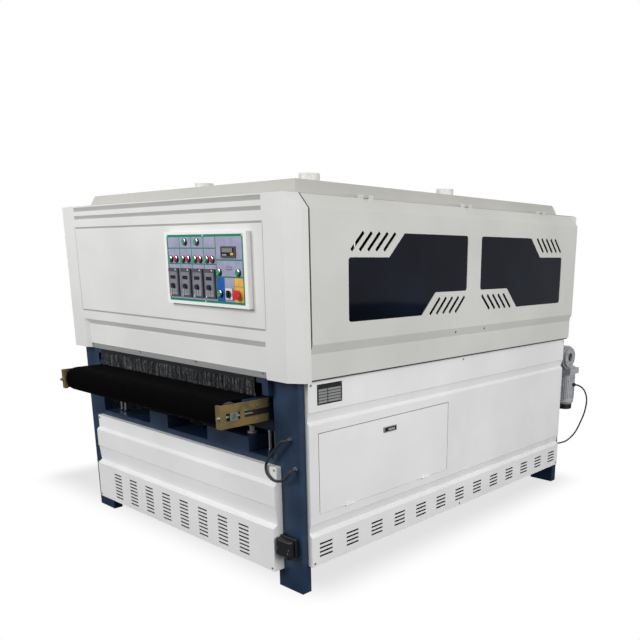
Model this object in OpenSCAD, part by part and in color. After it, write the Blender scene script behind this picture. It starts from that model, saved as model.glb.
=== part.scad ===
/* [Frame] */
// Width over the legs
leg_span = 1800; // [1700:10:2200]
// Middle of the machine to the front wall of its casing
front_reach = 1181; // [1150:1:1400]
// Middle of the machine to the back wall of its casing
rear_reach = 1170; // [1150:1:1400]
// Width of a leg, seen from the front
leg_w = 156; // [140:1:170]
// Depth of a leg, seen from the side
leg_d = 50; // [40:1:60]
// Wall of the leg and rail tubes
tube_wall = 6; // [4:1:8]
// Front wall of the casing back to the front face of a leg
leg_inset = 54; // [50:1:60]
// Thickness of a foot plate
foot_t = 10; // [6:1:14]
// Height of a square rail
rail_h = 60; // [50:1:70]
// Underside of the base rails above the floor
base_rail_z = 150; // [140:1:200]
// Top of the rails that carry the roller bearings
bearing_rail_z = 1010; // [1000:1:1020]
// Top of the cross plates that carry the lift posts
lift_plate_z = 592; // [575:1:600]
// Thickness of a lift cross plate
lift_plate_t = 12; // [8:1:14]
// Depth of a lift cross plate
lift_plate_d = 130; // [110:1:150]
// Top of the box pads on the front cross plate
pad_z = 661; // [640:1:670]

/* [Upper casing] */
// Width over the front face of the casing
face_w = 1804; // [1780:1:1850]
// Width over the flanks of the casing and its hoods
casing_w = 1926; // [1910:1:2000]
// Distance that the angled corner runs back
corner_run = 41; // [30:1:50]
// Depth of the flat flank behind the angled corner
flank_d = 36; // [30:1:50]
// Underside of the casing
casing_z = 951; // [945:1:956]
// Top of the casing
casing_top = 1686; // [1682:1:1700]
// Height of the sloped shoulder below the top
shoulder_h = 58; // [45:1:65]
// Inward run of the sloped shoulder
shoulder_run = 54; // [40:1:60]
// Sheet of the casing walls
sheet = 4; // [3:1:5]
// Plate behind the grooves of the front face
face_t = 8; // [7:1:10]
// Width of the fluted field between the corner pillars
field_w = 1548; // [1500:1:1600]
// Depth of a flute
flute_d = 4; // [2:1:5]
// Top edge of the hollow above the feed opening
hollow_z = 1107; // [1090:1:1120]
// Depth of that hollow
hollow_d = 19; // [12:1:24]
// Width of its bevelled rim
bevel = 25; // [15:1:35]
// Height of the aluminium strip at its foot
strip_h = 26; // [20:1:32]
// Thickness of the aluminium strip
strip_t = 3; // [2:1:5]
// Clear width of the feed opening
mouth_w = 1470; // [1400:1:1480]

/* [Roof] */
// Width of the roof cover at its foot
roof_w = 1668; // [1600:1:1700]
// Length of the roof cover at its foot
roof_l = 2090; // [1900:1:2150]
// Height of the roof cover
roof_h = 63; // [50:1:90]
// Inward slope of its walls
roof_lean = 18; // [10:1:30]
// Height of its foot flange
roof_foot = 16; // [10:1:20]
// Diameter of a dust duct
duct_d = 100; // [80:1:150]
// Height of a duct above the roof
duct_h = 76; // [50:1:120]
// Wall of a duct
duct_wall = 2; // [1.5:0.5:3]
// Spacing of the ducts across the machine
duct_gap_x = 850; // [700:10:1100]
// Spacing of the ducts along the machine
duct_gap_y = 1058; // [900:1:1200]

/* [Side hoods] */
// Length of a hood
hood_l = 2176; // [2150:1:2180]
// Gap between the casing flank and the hood
hood_gap = 8; // [4:1:12]
// Height of the lower fold of a hood
hood_fold_z = 1102; // [1080:1:1120]
// Drop of the inward slope below that fold
hood_tuck_h = 40; // [30:1:50]
// Inward run of that slope
hood_tuck = 16; // [10:1:20]
// Lower edge of a hood
hood_z = 956; // [954:1:970]
// Sheet of a hood
hood_t = 3; // [2:0.5:4]
// Width of the folded rim at each end of a hood
hood_rim = 40; // [20:1:50]
// Diameter of the hinge barrel
barrel_d = 14; // [10:1:18]
// Height of the tall part of a window
window_top = 1548; // [1530:1:1560]
// Height of the low part of a window
window_bottom = 1181; // [1170:1:1200]
// Step of the window outline
window_step = 103; // [80:1:120]
// Thickness of a window pane
pane_t = 4; // [3:1:6]
// Lap of a pane behind its opening
pane_lap = 15; // [8:1:18]
// Width of a slot beside the windows
slash_w = 15; // [8:1:18]
// Number of slots in a group
slash_count = 5; // [3:1:6]

/* [Lower panels] */
// Width over the side panels
panel_span = 1848; // [1840:1:1850]
// Front face of a leg back to the edge of a side panel
panel_inset = 36; // [30:1:45]
// Length of a side panel
panel_l = 2167; // [2150:1:2170]
// Sheet of the lower panels
panel_t = 3; // [2:0.5:3.5]
// Lower edge of a side panel
side_panel_z = 125; // [100:1:140]
// Height of the lower groove in a side panel
side_groove_z = 271; // [260:1:290]
// Height of the upper groove in a side panel
side_upper_z = 767; // [750:1:780]
// Height of a groove, from its ridge to its line
groove_h = 48; // [40:1:60]
// Depth of a groove
groove_d = 12; // [8:1:16]
// Lower edge of the front panel
front_panel_z = 90; // [80:1:110]
// Top edge of the front panel
front_panel_top = 565; // [555:1:575]
// Width of the front panel
front_panel_w = 1556; // [1500:1:1580]
// Width of the electrical door
door_w = 908; // [800:1:950]
// Height of the electrical door
door_h = 358; // [300:1:380]
// Clearance round the door
door_gap = 3; // [2:0.5:4]
// Length of a front vent slot
vent_w = 74; // [50:1:90]
// Height of a vent slot
vent_h = 9; // [6:1:10]
// Pitch of the vent slots
vent_pitch = 19; // [15:1:22]

/* [Feed bed] */
// Middle of the machine to the front roller axis
front_axis = 1302; // [1280:1:1400]
// Middle of the machine to the rear roller axis
rear_axis = 1272; // [1250:1:1400]
// Height of the roller axes
roller_z = 804; // [790:1:810]
// Radius of the feed rollers
roller_r = 57; // [50:1:60]
// Thickness of the feed belt
belt_t = 4; // [3:0.5:6]
// Width of the feed belt
belt_w = 1330; // [1300:10:1350]
// Radius of the roller journals
journal_r = 12; // [10:1:15]
// Radius of the drive shaft
shaft_r = 15; // [12:1:18]
// Outer face of a bed rail from the middle
rail_x = 690; // [685:1:700]
// Thickness of a bed rail
bed_rail_t = 20; // [16:1:20]
// Height of a bed rail
bed_rail_h = 104; // [100:1:108]
// Plate of a tension bracket
fork_t = 8; // [6:1:10]
// Length of a tension bracket
fork_l = 243; // [220:1:260]
// Height of a tension bracket
fork_h = 99; // [90:1:103]
// Radius of a tension screw
tension_r = 5; // [4:0.5:6]
// Radius of a lift post
post_r = 8; // [6:1:10]
// Spacing of the two lift posts of a pair
post_gap = 42; // [36:1:60]
// Radius of the gearbox ring
gear_r = 75; // [65:1:80]
// Worm axis behind the output axis
worm_offset = 50; // [45:1:60]
// Radius of the gearmotor body
motor_r = 56; // [50:1:60]
// Height of the gearmotor body below its flange
motor_h = 174; // [150:1:200]

/* [Sanding rollers] */
// Spacing of the sanding rollers
sander_pitch = 320; // [300:1:340]
// Radius of a sanding roller over its strips
sander_r = 110; // [90:1:118]
// Radius of its core
sander_core_r = 84; // [60:1:88]
// Number of abrasive strips on a roller
strip_count = 16; // [12:1:24]
// Length of the strips, the working width
work_w = 1300; // [1280:10:1330]
// Height of the sanding roller axes
sander_z = 1060; // [1055:1:1070]
// Radius of a roller shaft
sander_shaft_r = 20; // [16:1:25]

/* [Controls] */
// Width of the control box
box_w = 593; // [580:1:620]
// Height of the control box
box_h = 310; // [300:1:330]
// Depth of the control box
box_d = 22; // [20:1:40]
// Left side of the control box from the middle
box_x = 112; // [80:1:120]
// Lower edge of the control box
box_z = 1236; // [1220:1:1240]
// Width of the control face
deck_w = 552; // [545:1:565]
// Height of the control face
deck_h = 284; // [280:1:290]
// Thickness of the control face
deck_t = 2; // [2:0.5:3]
// Radius of a push button
button_r = 10; // [8:0.5:11]
// Height of a push button above its ring
button_h = 6; // [5:0.5:10]
// Travel of a push button
button_travel = 3; // [2:0.5:4]
// Radius of a button ring
ring_r = 14; // [12:0.5:15]
// Height of a button ring
ring_h = 6; // [3:0.5:8]
// Running clearance round a button
button_gap = 0.4; // [0.3:0.1:0.6]

/* [Curtain] */
// Strands in one row of a bristle curtain
strand_count = 120; // [100:1:125]
// Free length of the strands
strand_l = 70; // [50:1:72]
// Thickness of one row of strands
strand_t = 3; // [2:0.5:4]

/* [Hidden] */
$fn = 48;

// Overrun of every cut, and the least gap between bodies
over = 1;
seat_gap = 0.3;
run_gap = 0.05;

// Places along the machine
front_y = -front_reach;
rear_y = rear_reach;
leg_x = leg_span / 2;
leg_in_x = leg_x - leg_w;
leg_front_y = front_y + leg_inset;
leg_rear_y = rear_y - leg_inset;
foot_ys = [leg_front_y, leg_rear_y - leg_d];

// Casing outline
casing_x = casing_w / 2;
face_x = face_w / 2;
pillar_y = front_y + corner_run + flank_d;
field_x = field_w / 2;
mouth_x = mouth_w / 2;
rear_x = leg_x + sheet;
sander_count = 6;

// Flutes of the front face, from its foot up: top edge and height, as shares of its height
flute_top_shares = [0.993, 0.936, 0.86, 0.283];
flute_h_shares = [0.028, 0.023, 0.012, 0.012];
face_h = casing_top - casing_z;

// Box pads on the lift plates
pad_x = [242, 560];
mid_pad_x = [-268, -101];

module slab(x0, x1, y0, y1, z0, z1)
    translate([x0, y0, z0]) cube([x1 - x0, y1 - y0, z1 - z0]);

module rod_x(r, x0, x1, y, z)
    translate([x0, y, z]) rotate([0, 90, 0]) cylinder(r = r, h = x1 - x0);

module rod_y(r, y0, y1, x, z)
    translate([x, y0, z]) rotate([-90, 0, 0]) cylinder(r = r, h = y1 - y0);

module rod_z(r, z0, z1, x, y)
    translate([x, y, z0]) cylinder(r = r, h = z1 - z0);

module both_sides() {
    children();
    mirror([1, 0, 0]) children();
}

// A prism whose outline lies in the front view, drawn from the front backwards
module front_prism(y0, y1)
    translate([0, y1, 0]) rotate([90, 0, 0]) linear_extrude(y1 - y0) children();

// A prism whose outline lies in the side view, drawn across the machine
module side_prism(x0, x1)
    translate([x0, 0, 0]) rotate([90, 0, 90]) linear_extrude(x1 - x0) children();

// ---------------------------------------------------------------- frame

leg_h = casing_top - sheet;
plate_ys = [leg_front_y, leg_rear_y - lift_plate_d];
post_inset = 38;
rod_x0 = rail_x - post_inset;
rod_xs = [rod_x0 - post_gap / 2, rod_x0 + post_gap / 2];
rod_inset = lift_plate_d / 2;
rod_ys = [leg_front_y + rod_inset, leg_rear_y - rod_inset];
flange_r = 30;
flange_h = 10;
socket_r = 10;
socket_l = 14;
hose_sockets = [[845, 697], [876, 573]];
cable_socket = [860, 240];
cheek_y = hollow_d + 2 * sheet;
cheek_drop = 76;
cheek_lip = 26;
cheek_in = 668;

module leg(y) {
    difference() {
        slab(leg_in_x, leg_x, y, y + leg_d, 0, leg_h);
        slab(leg_in_x + tube_wall, leg_x - tube_wall, y + tube_wall,
             y + leg_d - tube_wall, foot_t, leg_h + over);
    }
}

module lift_plate(y) {
    difference() {
        union() {
            slab(-leg_in_x, leg_in_x, y, y + lift_plate_d, lift_plate_z - lift_plate_t, lift_plate_z);
            slab(pad_x[0], pad_x[1], y, y + lift_plate_d, lift_plate_z, pad_z);
            slab(mid_pad_x[0], mid_pad_x[1], y, y + lift_plate_d, lift_plate_z, pad_z);
            both_sides() for (x = rod_xs)
                rod_z(flange_r / 2, lift_plate_z, lift_plate_z + flange_h, x, y + lift_plate_d / 2);
        }
        both_sides() for (x = rod_xs)
            rod_z(post_r + run_gap, lift_plate_z - lift_plate_t - over,
                  lift_plate_z + flange_h + over, x, y + lift_plate_d / 2);
    }
}

module weldment() color("#1f2f45") {
    rail_y0 = leg_front_y + leg_d;
    rail_y1 = leg_rear_y - leg_d;
    both_sides() {
        for (y = foot_ys) leg(y);
        slab(leg_x - rail_h, leg_x, rail_y0, rail_y1, base_rail_z, base_rail_z + rail_h);
        slab(leg_in_x, leg_in_x + rail_h, rail_y0, rail_y1,
             bearing_rail_z - rail_h, bearing_rail_z);
        slab(leg_in_x, leg_in_x + rail_h, rail_y0, rail_y1, casing_top - rail_h, casing_top);
        // Cheeks beside the curtain
        slab(cheek_in, leg_in_x, front_y + cheek_y, front_y + cheek_y + tube_wall,
             casing_z - cheek_lip, casing_z);
        slab(rail_x + fork_t + tube_wall, leg_in_x, front_y + cheek_y,
             front_y + cheek_y + tube_wall, casing_z - cheek_drop, casing_z);
        slab(leg_in_x - tube_wall, leg_in_x, front_y + cheek_y, leg_front_y + leg_d,
             casing_z - cheek_drop, casing_z);
    }
    for (y = foot_ys) {
        slab(-leg_in_x, leg_in_x, y, y + leg_d, base_rail_z, base_rail_z + rail_h);
        slab(-leg_in_x, leg_in_x, y, y + leg_d, casing_top - sheet - rail_h, casing_top - sheet);
    }
    for (y = plate_ys) lift_plate(y);
    for (p = hose_sockets) rod_y(socket_r, leg_front_y - socket_l, leg_front_y, p[0], p[1]);
    rod_y(socket_r, leg_rear_y, leg_rear_y + socket_l, cable_socket[0], cable_socket[1]);
}

// White rests that the lowered bed stands on
bed_beam_z = 700;
pad_r = 22;
pad_waist_r = 12;
pad_disc_h = 7;

module stop_pads() color("white")
    for (y = plate_ys, x = [pad_x[1] - 2.5 * pad_r, (mid_pad_x[0] + mid_pad_x[1]) / 2])
        translate([x, y + lift_plate_d / 2, pad_z]) {
        cylinder(r = pad_waist_r, h = bed_beam_z - pad_z - seat_gap);
        cylinder(r = pad_r, h = pad_disc_h);
        translate([0, 0, bed_beam_z - pad_z - seat_gap - pad_disc_h])
            cylinder(r = pad_r, h = pad_disc_h);
    }

// ---------------------------------------------------------------- lower panels

ridge_h = 14;
line_step = 4;
bulge = 3;

// Outline of a pressed groove: depth inwards and height of each fold
function groove(z) = [[0, z - ridge_h / 2], [groove_d, z + ridge_h / 2],
                      [line_step, z + groove_h - line_step], [0, z + groove_h]];

module pressed_sheet(folds, t) {
    n = len(folds);
    polygon(concat(folds, [for (i = [n - 1:-1:0]) folds[i] + [t, 0]]));
}

side_top = casing_z + 2 * sheet;
panel_x = panel_span / 2;
panel_y0 = leg_front_y + panel_inset;
panel_y1 = panel_y0 + panel_l;
side_folds = concat([[-bulge, side_panel_z], [-bulge, side_groove_z - ridge_h / 2 - line_step]],
                    groove(side_groove_z), groove(side_upper_z), [[0, side_top]]);

screw_r = 5;
screw_h = 2.5;
shank_r = 2.5;
screw_rim = 14;
side_screws = [for (y = [panel_y0 + screw_rim, panel_y0 + panel_l / 2, panel_y1 - screw_rim])
                   each [[y, side_top - 2 * screw_rim, 0], [y, side_panel_z + screw_rim, bulge]]];

side_vent_count = 13;
side_vent_rows = 4;
side_vent_w = 78;
side_vent_z = 160;

// Holes for the screws of one side panel, drawn on the right
module side_screw_holes()
    for (p = side_screws)
        rod_x(shank_r + run_gap, panel_x - groove_d, panel_x + bulge + over, p[0], p[1]);

module side_sheet() {
    // The sheet, its front return to the leg and its rear return
    difference() {
        translate([panel_x, panel_y1, 0]) rotate([90, 0, 0]) linear_extrude(panel_l)
            mirror([1, 0]) pressed_sheet(side_folds, panel_t);
        side_screw_holes();
        for (i = [0:side_vent_count - 1], j = [0:side_vent_rows - 1])
            translate([panel_x - over - panel_t, panel_y0 + panel_l * (i + 0.5) / side_vent_count
                       - side_vent_w / 2, side_vent_z + j * vent_pitch])
                cube([panel_t + bulge + 2 * over, side_vent_w, vent_h]);
    }
    for (y = [panel_y0, panel_y1 - panel_t])
        slab(leg_x, panel_x - groove_d, y, y + panel_t, side_panel_z, side_top);
    for (y = [panel_y0, panel_y1 - panel_t])
        difference() {
            translate([panel_x, y + panel_t, 0]) rotate([90, 0, 0]) linear_extrude(panel_t)
                mirror([1, 0]) polygon(concat(side_folds, [[panel_x - leg_x, side_top],
                                                           [panel_x - leg_x, side_panel_z]]));
        }
}

// Electrical door in the right panel
door_inset = 54;
door_rise = 89;
door_y0 = panel_y0 + door_inset;
door_z0 = side_groove_z + door_rise;
hinge_r = 4;
hinge_pin_r = 2;
hinge_l = 60;
hinge_leaf = 14;
hinge_leaf_t = 1.5;
door_axis_x = panel_x + hinge_r;
door_axis_z = door_z0 - door_gap / 2;
door_hinge_ys = [door_y0 + door_w / 5, door_y0 + door_w * 4 / 5];
latch_drop = 56;
latch_w = 88;
latch_h = 24;
latch_t = 5;
latch_r = 9;
latch_y = door_y0 + door_w / 2;
latch_z = door_z0 + door_h - latch_drop;

// Middle third of a hinge, with the pin, on the fixed leaf
module hinge_post(x, z, r, pin_r, l, ys)
    for (y = ys) {
        rod_y(r, y - l / 6 + seat_gap, y + l / 6 - seat_gap, x, z);
        rod_y(pin_r, y - l / 2, y + l / 2, x, z);
    }

// Outer thirds of a hinge, bored for the pin
module hinge_eyes(x, z, r, pin_r, l, ys)
    for (y = ys) difference() {
        rod_y(r, y - l / 2, y + l / 2, x, z);
        rod_y(pin_r + run_gap, y - l / 2 - over, y + l / 2 + over, x, z);
        rod_y(r + over, y - l / 6, y + l / 6, x, z);
    }

module side_panel_right() color("#cdccc8") {
    difference() {
        side_sheet();
        slab(panel_x - groove_d, panel_x + over, door_y0 - door_gap, door_y0 + door_w + door_gap,
             door_z0 - door_gap, door_z0 + door_h + door_gap);
    }
    hinge_post(door_axis_x, door_axis_z, hinge_r, hinge_pin_r, hinge_l, door_hinge_ys);
    for (y = door_hinge_ys)
        slab(panel_x, panel_x + hinge_leaf_t, y - hinge_l / 6 + seat_gap,
             y + hinge_l / 6 - seat_gap, door_axis_z - hinge_leaf, door_axis_z);
}

module side_panel_left() color("#cdccc8") mirror([1, 0, 0]) side_sheet();

module electrical_door() color("#d2d2ce") {
    difference() {
        slab(panel_x - panel_t, panel_x, door_y0, door_y0 + door_w, door_z0, door_z0 + door_h);
        rod_x(latch_r + run_gap, panel_x - panel_t - over, panel_x + over, latch_y, latch_z);
    }
    hinge_eyes(door_axis_x, door_axis_z, hinge_r, hinge_pin_r, hinge_l, door_hinge_ys);
    for (y = door_hinge_ys, s = [-1, 1])
        slab(panel_x, panel_x + hinge_leaf_t, y + s * hinge_l / 3 - hinge_l / 6 + seat_gap,
             y + s * hinge_l / 3 + hinge_l / 6 - seat_gap, door_z0, door_z0 + hinge_leaf);
}

module door_latch() color("#3a3c40") {
    rod_x(latch_r, panel_x - panel_t - latch_t, panel_x + over, latch_y, latch_z);
    difference() {
        slab(panel_x + seat_gap, panel_x + latch_t, latch_y - latch_w / 2,
             latch_y + latch_w / 2, latch_z - latch_h / 2, latch_z + latch_h / 2);
        slab(panel_x + latch_t / 2, panel_x + latch_t + over, latch_y + latch_r,
             latch_y + latch_w / 2 - latch_t, latch_z - latch_r, latch_z + latch_r);
    }
    rod_x(1.5 * latch_r, panel_x - panel_t - 2 * latch_t, panel_x - panel_t - seat_gap,
          latch_y, latch_z);
}

// Front and rear panel between the legs
front_ridge_z = 297;
front_line_z = 388;
front_upper_z = 489;
field_in = 12;
top_in = 28;
front_folds = [[0, front_panel_z], [0, front_ridge_z - ridge_h / 2],
               [field_in + groove_d, front_ridge_z + ridge_h / 2],
               [field_in + line_step, front_line_z - line_step], [field_in, front_line_z],
               [field_in, front_upper_z - ridge_h / 2], [top_in, front_upper_z + ridge_h / 2],
               [top_in, front_panel_top]];
front_vent_count = 8;
front_vent_rows = 8;
front_vent_gap = 161;
front_vent_z = 116;
front_screws = [[front_panel_w / 2 - screw_rim, front_panel_top - screw_rim, top_in],
                [front_panel_w / 2 - screw_rim, front_panel_z + screw_rim, 0]];

module end_panel() difference() {
    folded_panel();
    both_sides() for (p = front_screws)
        rod_y(shank_r + run_gap, front_y - over, front_y + p[2] + panel_t + over, p[0], p[1]);
}

module folded_panel() {
    panel_half = front_panel_w / 2;
    side_prism(-panel_half, panel_half) translate([front_y, 0])
        pressed_sheet(front_folds, panel_t);
    // Returns to the legs and the top lip
    for (x = [-panel_half, panel_half - panel_t])
        side_prism(x, x + panel_t) translate([front_y, 0])
            polygon(concat(front_folds, [[leg_inset, front_panel_top], [leg_inset, front_panel_z]]));
    slab(-panel_half, panel_half, front_y + top_in, leg_front_y,
         front_panel_top - panel_t, front_panel_top);
}

module front_panel() color("#d0d0cb") difference() {
    end_panel();
    for (i = [0:front_vent_count - 1], j = [0:front_vent_rows - 1])
        translate([(i - (front_vent_count - 1) / 2) * front_vent_gap - vent_w / 2,
                   front_y - over, front_vent_z + j * vent_pitch])
            cube([vent_w, panel_t + 2 * over, vent_h]);
}

module rear_panel() color("#c4c4c0")
    translate([0, leg_rear_y + leg_front_y, 0]) mirror([0, 1, 0]) end_panel();

// ---------------------------------------------------------------- casing

shoulder_x = casing_x - shoulder_run;
shoulder_z = casing_top - shoulder_h;

module shoulder_cut(drop)
    both_sides() front_prism(front_y - over, pillar_y + 2 * over)
        polygon([[shoulder_x, casing_top - drop], [casing_x + over, shoulder_z - drop
                 - over * shoulder_h / shoulder_run], [casing_x + over, casing_top + over],
                 [shoulder_x, casing_top + over]]);

module front_plan(wall, face)
    polygon([[-face_x + wall, front_y + face], [face_x - wall, front_y + face],
             [casing_x - wall, front_y + corner_run + wall],
             [casing_x - wall, pillar_y + (wall > 0 ? over : 0)],
             [-casing_x + wall, pillar_y + (wall > 0 ? over : 0)],
             [-casing_x + wall, front_y + corner_run + wall]]);

module hollow_cut() intersection() {
    translate([0, 0, casing_z - over]) linear_extrude(hollow_z - casing_z + 2 * over)
        polygon([[-field_x - bevel, front_y - hollow_d], [field_x + bevel, front_y - hollow_d],
                 [field_x - bevel, front_y + hollow_d], [-field_x + bevel, front_y + hollow_d]]);
    side_prism(-field_x - bevel, field_x + bevel)
        polygon([[front_y - hollow_d, casing_z - over], [front_y + hollow_d, casing_z - over],
                 [front_y + hollow_d, hollow_z - bevel], [front_y - hollow_d, hollow_z + bevel]]);
}

module casing_front() color("#dadcd8") {
    difference() {
        union() {
            difference() {
                translate([0, 0, casing_z]) linear_extrude(casing_top - casing_z)
                    front_plan(0, 0);
                difference() {
                    translate([0, 0, casing_z - over])
                        linear_extrude(casing_top - casing_z + over - sheet)
                            front_plan(sheet, face_t);
                    shoulder_cut(1.5 * sheet);
                }
            }
            slab(-field_x - sheet, field_x + sheet, front_y + face_t / 2,
                 front_y + hollow_d + sheet, casing_z, hollow_z + sheet);
            // Stand-offs to the legs
            both_sides() slab(leg_in_x, leg_in_x + rail_h, front_y + face_t / 2, leg_front_y,
                              casing_z, casing_top - sheet);
        }
        shoulder_cut(0);
        for (i = [0:len(flute_top_shares) - 1])
            slab(-field_x, field_x, front_y - over, front_y + flute_d,
                 casing_z + face_h * (flute_top_shares[i] - flute_h_shares[i]),
                 casing_z + face_h * flute_top_shares[i]);
        hollow_cut();
        // Inside of the stand-offs
        both_sides() slab(leg_in_x + sheet, leg_in_x + rail_h - sheet, front_y + face_t + hollow_d,
                          leg_front_y + over, casing_z + sheet, casing_top - 2 * sheet);
    }
}

module casing_rear() color("#cfd1cd") difference() {
    slab(-rear_x, rear_x, rear_y - corner_run - flank_d, rear_y, casing_z, casing_top);
    slab(-leg_x, leg_x, rear_y - corner_run - flank_d - over, leg_rear_y,
         casing_z - over, casing_top - sheet);
    slab(-rear_x + sheet, rear_x - sheet, leg_rear_y - over, rear_y - sheet,
         casing_z - over, casing_top - sheet);
    slab(-mouth_x, mouth_x, leg_rear_y, rear_y + over, casing_z - over, casing_z + sheet);
}

// Aluminium strips over the feed openings, with their screws' holes
strip_x = field_x - bevel - sheet;
strip_screws = [for (i = [0:3]) -strip_x + screw_rim + i * (2 * strip_x - 2 * screw_rim) / 3];
strip_y = front_y + hollow_d - strip_t;

module mouth_strips() color("#b9bcbf") {
    difference() {
        slab(-strip_x, strip_x, strip_y, strip_y + strip_t, casing_z, casing_z + strip_h);
        for (x = strip_screws)
            rod_y(shank_r + run_gap, strip_y - over, strip_y + strip_t + over, x,
                  casing_z + strip_h - screw_r);
    }
    slab(-strip_x, strip_x, rear_y, rear_y + strip_t, casing_z + sheet, casing_z + sheet + strip_h);
}

// Bristle curtains: two rows of strands under a backing bar, front and rear
curtain_x = work_w / 2 + bulge * bulge;
backing_h = strip_h;
backing_z = casing_z - ridge_h;
strand_lean_share = 0.12;
strand_w_share = 0.82;

// One row as a comb: each strand leans a little and ends at its own height
module comb(phase) {
    pitch = 2 * curtain_x / strand_count;
    w = pitch * strand_w_share / 2;
    points = [for (i = [0:strand_count - 1]) let (
                 x = -curtain_x + (i + 0.5) * pitch,
                 lean = pitch * strand_lean_share * sin((i + phase) * 137.5),
                 drop = strand_l * (1 - 0.06 * abs(sin((i + phase) * 71))))
              each [[x - w, backing_z], [x - w * 0.7 + lean, backing_z - drop],
                    [x + w * 0.7 + lean, backing_z - drop], [x + w, backing_z]]];
    polygon(concat([[-curtain_x, backing_z + backing_h], [-curtain_x, backing_z]], points,
                   [[curtain_x, backing_z], [curtain_x, backing_z + backing_h]]));
}

module curtain() {
    y0 = front_y + hollow_d + sheet;
    front_prism(y0, y0 + strand_t) comb(0);
    front_prism(y0 + strand_t, y0 + 2 * strand_t) comb(40);
}

module curtains() color("#26282b") {
    curtain();
    translate([0, rear_y - 2 * sheet - hollow_d - front_y - 2 * strand_t, 0]) curtain();
}

// ---------------------------------------------------------------- roof

barrel_r = barrel_d / 2;
barrel_x = shoulder_x + bulge;
barrel_z = casing_top + barrel_r;
deck_edge = 25;
deck_plate_x = barrel_x - barrel_r - 2 * seat_gap;
roof_y = -8;
duct_y = -74;
knuckle_l = 90;
hood_y0 = pillar_y + hood_gap;
hood_y1 = hood_y0 + hood_l;
knuckle_ys = [for (s = [1, 3, 5]) hood_y0 + hood_l * s / 6];

module roof_body(shrink, z0) intersection() {
    front_prism(roof_y - roof_l, roof_y + roof_l)
        polygon([[-roof_w / 2 + shrink, z0], [roof_w / 2 - shrink, z0],
                 [roof_w / 2 - shrink, casing_top + sheet + roof_foot],
                 [roof_w / 2 - shrink - roof_lean, casing_top + roof_h - shrink],
                 [-roof_w / 2 + shrink + roof_lean, casing_top + roof_h - shrink],
                 [-roof_w / 2 + shrink, casing_top + sheet + roof_foot]]);
    side_prism(-roof_w, roof_w) translate([roof_y, 0])
        polygon([[-roof_l / 2 + shrink, z0], [roof_l / 2 - shrink, z0],
                 [roof_l / 2 - shrink, casing_top + sheet + roof_foot],
                 [roof_l / 2 - shrink - roof_lean, casing_top + roof_h - shrink],
                 [-roof_l / 2 + shrink + roof_lean, casing_top + roof_h - shrink],
                 [-roof_l / 2 + shrink, casing_top + sheet + roof_foot]]);
}

module at_ducts()
    for (sx = [-1, 1], sy = [-1, 1])
        translate([sx * duct_gap_x / 2, duct_y + sy * duct_gap_y / 2, 0]) children();

module roof_cover() color("#d6d7d3") {
    difference() {
        union() {
            slab(-deck_plate_x, deck_plate_x, front_y + deck_edge, rear_y - deck_edge,
                 casing_top, casing_top + sheet);
            roof_body(0, casing_top + sheet / 2);
        }
        roof_body(sheet, casing_top - over);
        at_ducts() translate([0, 0, casing_top])
            cylinder(r = duct_d / 2 + seat_gap, h = roof_h + over);
    }
    both_sides() {
        hinge_post(barrel_x, barrel_z, barrel_r, barrel_r / 2, knuckle_l, knuckle_ys);
        for (y = knuckle_ys)
            slab(deck_plate_x - deck_edge, barrel_x, y - knuckle_l / 6 + seat_gap,
                 y + knuckle_l / 6 - seat_gap, casing_top, casing_top + sheet);
    }
}

module duct_collars() color("#cfcfca")
    at_ducts() translate([0, 0, casing_top + roof_h]) difference() {
        union() {
            translate([0, 0, -2 * sheet]) cylinder(r = duct_d / 2, h = duct_h + 2 * sheet);
            cylinder(r = duct_d / 2 + 3 * sheet, h = duct_wall);
        }
        translate([0, 0, -2 * sheet - over])
            cylinder(r = duct_d / 2 - duct_wall, h = duct_h + 2 * sheet + 2 * over);
    }

// ---------------------------------------------------------------- side hoods

window_far = 897;
window_near = 59;
window_side = 252;
window_mid = 9;
slash_l = 106;
slash_rise = 38;
slash_start = 54;
drain_r = 6;
drain_ys = [-122, 130];
tuck_x = casing_x - hood_tuck;
tuck_z = hood_fold_z - hood_tuck_h;
hood_line = [[shoulder_x + over, casing_top - over], [casing_x, shoulder_z],
             [casing_x, hood_fold_z], [tuck_x, tuck_z], [tuck_x, hood_z]];
rim_x = leg_x + tube_wall;

// Outline of a window in the side view, grown by d
function window_outline(d) = let (s = d * tan(22.5), top = window_top, low = window_bottom,
                                  st = window_step)
    [[-window_far - d, top - st + d], [-window_far + window_side - s, top - st + d],
     [-window_far + window_side + st - s, top + d], [-window_near + d, top + d],
     [-window_near + d, low + st - d], [-window_near - window_side + s, low + st - d],
     [-window_near - window_side - st + s, low - d], [-window_far - d, low - d]];

module slash(y, z)
    translate([casing_x - hood_t - over, y, z]) rotate([45, 0, 0])
        translate([0, -slash_l / 2, -slash_w / 2]) cube([hood_t + 2 * over, slash_l, slash_w]);

// The two windows stand mirrored about the middle of the hood
module at_windows()
    for (m = [0, 1]) translate([0, window_mid, 0]) mirror([0, m, 0]) children();

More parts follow.
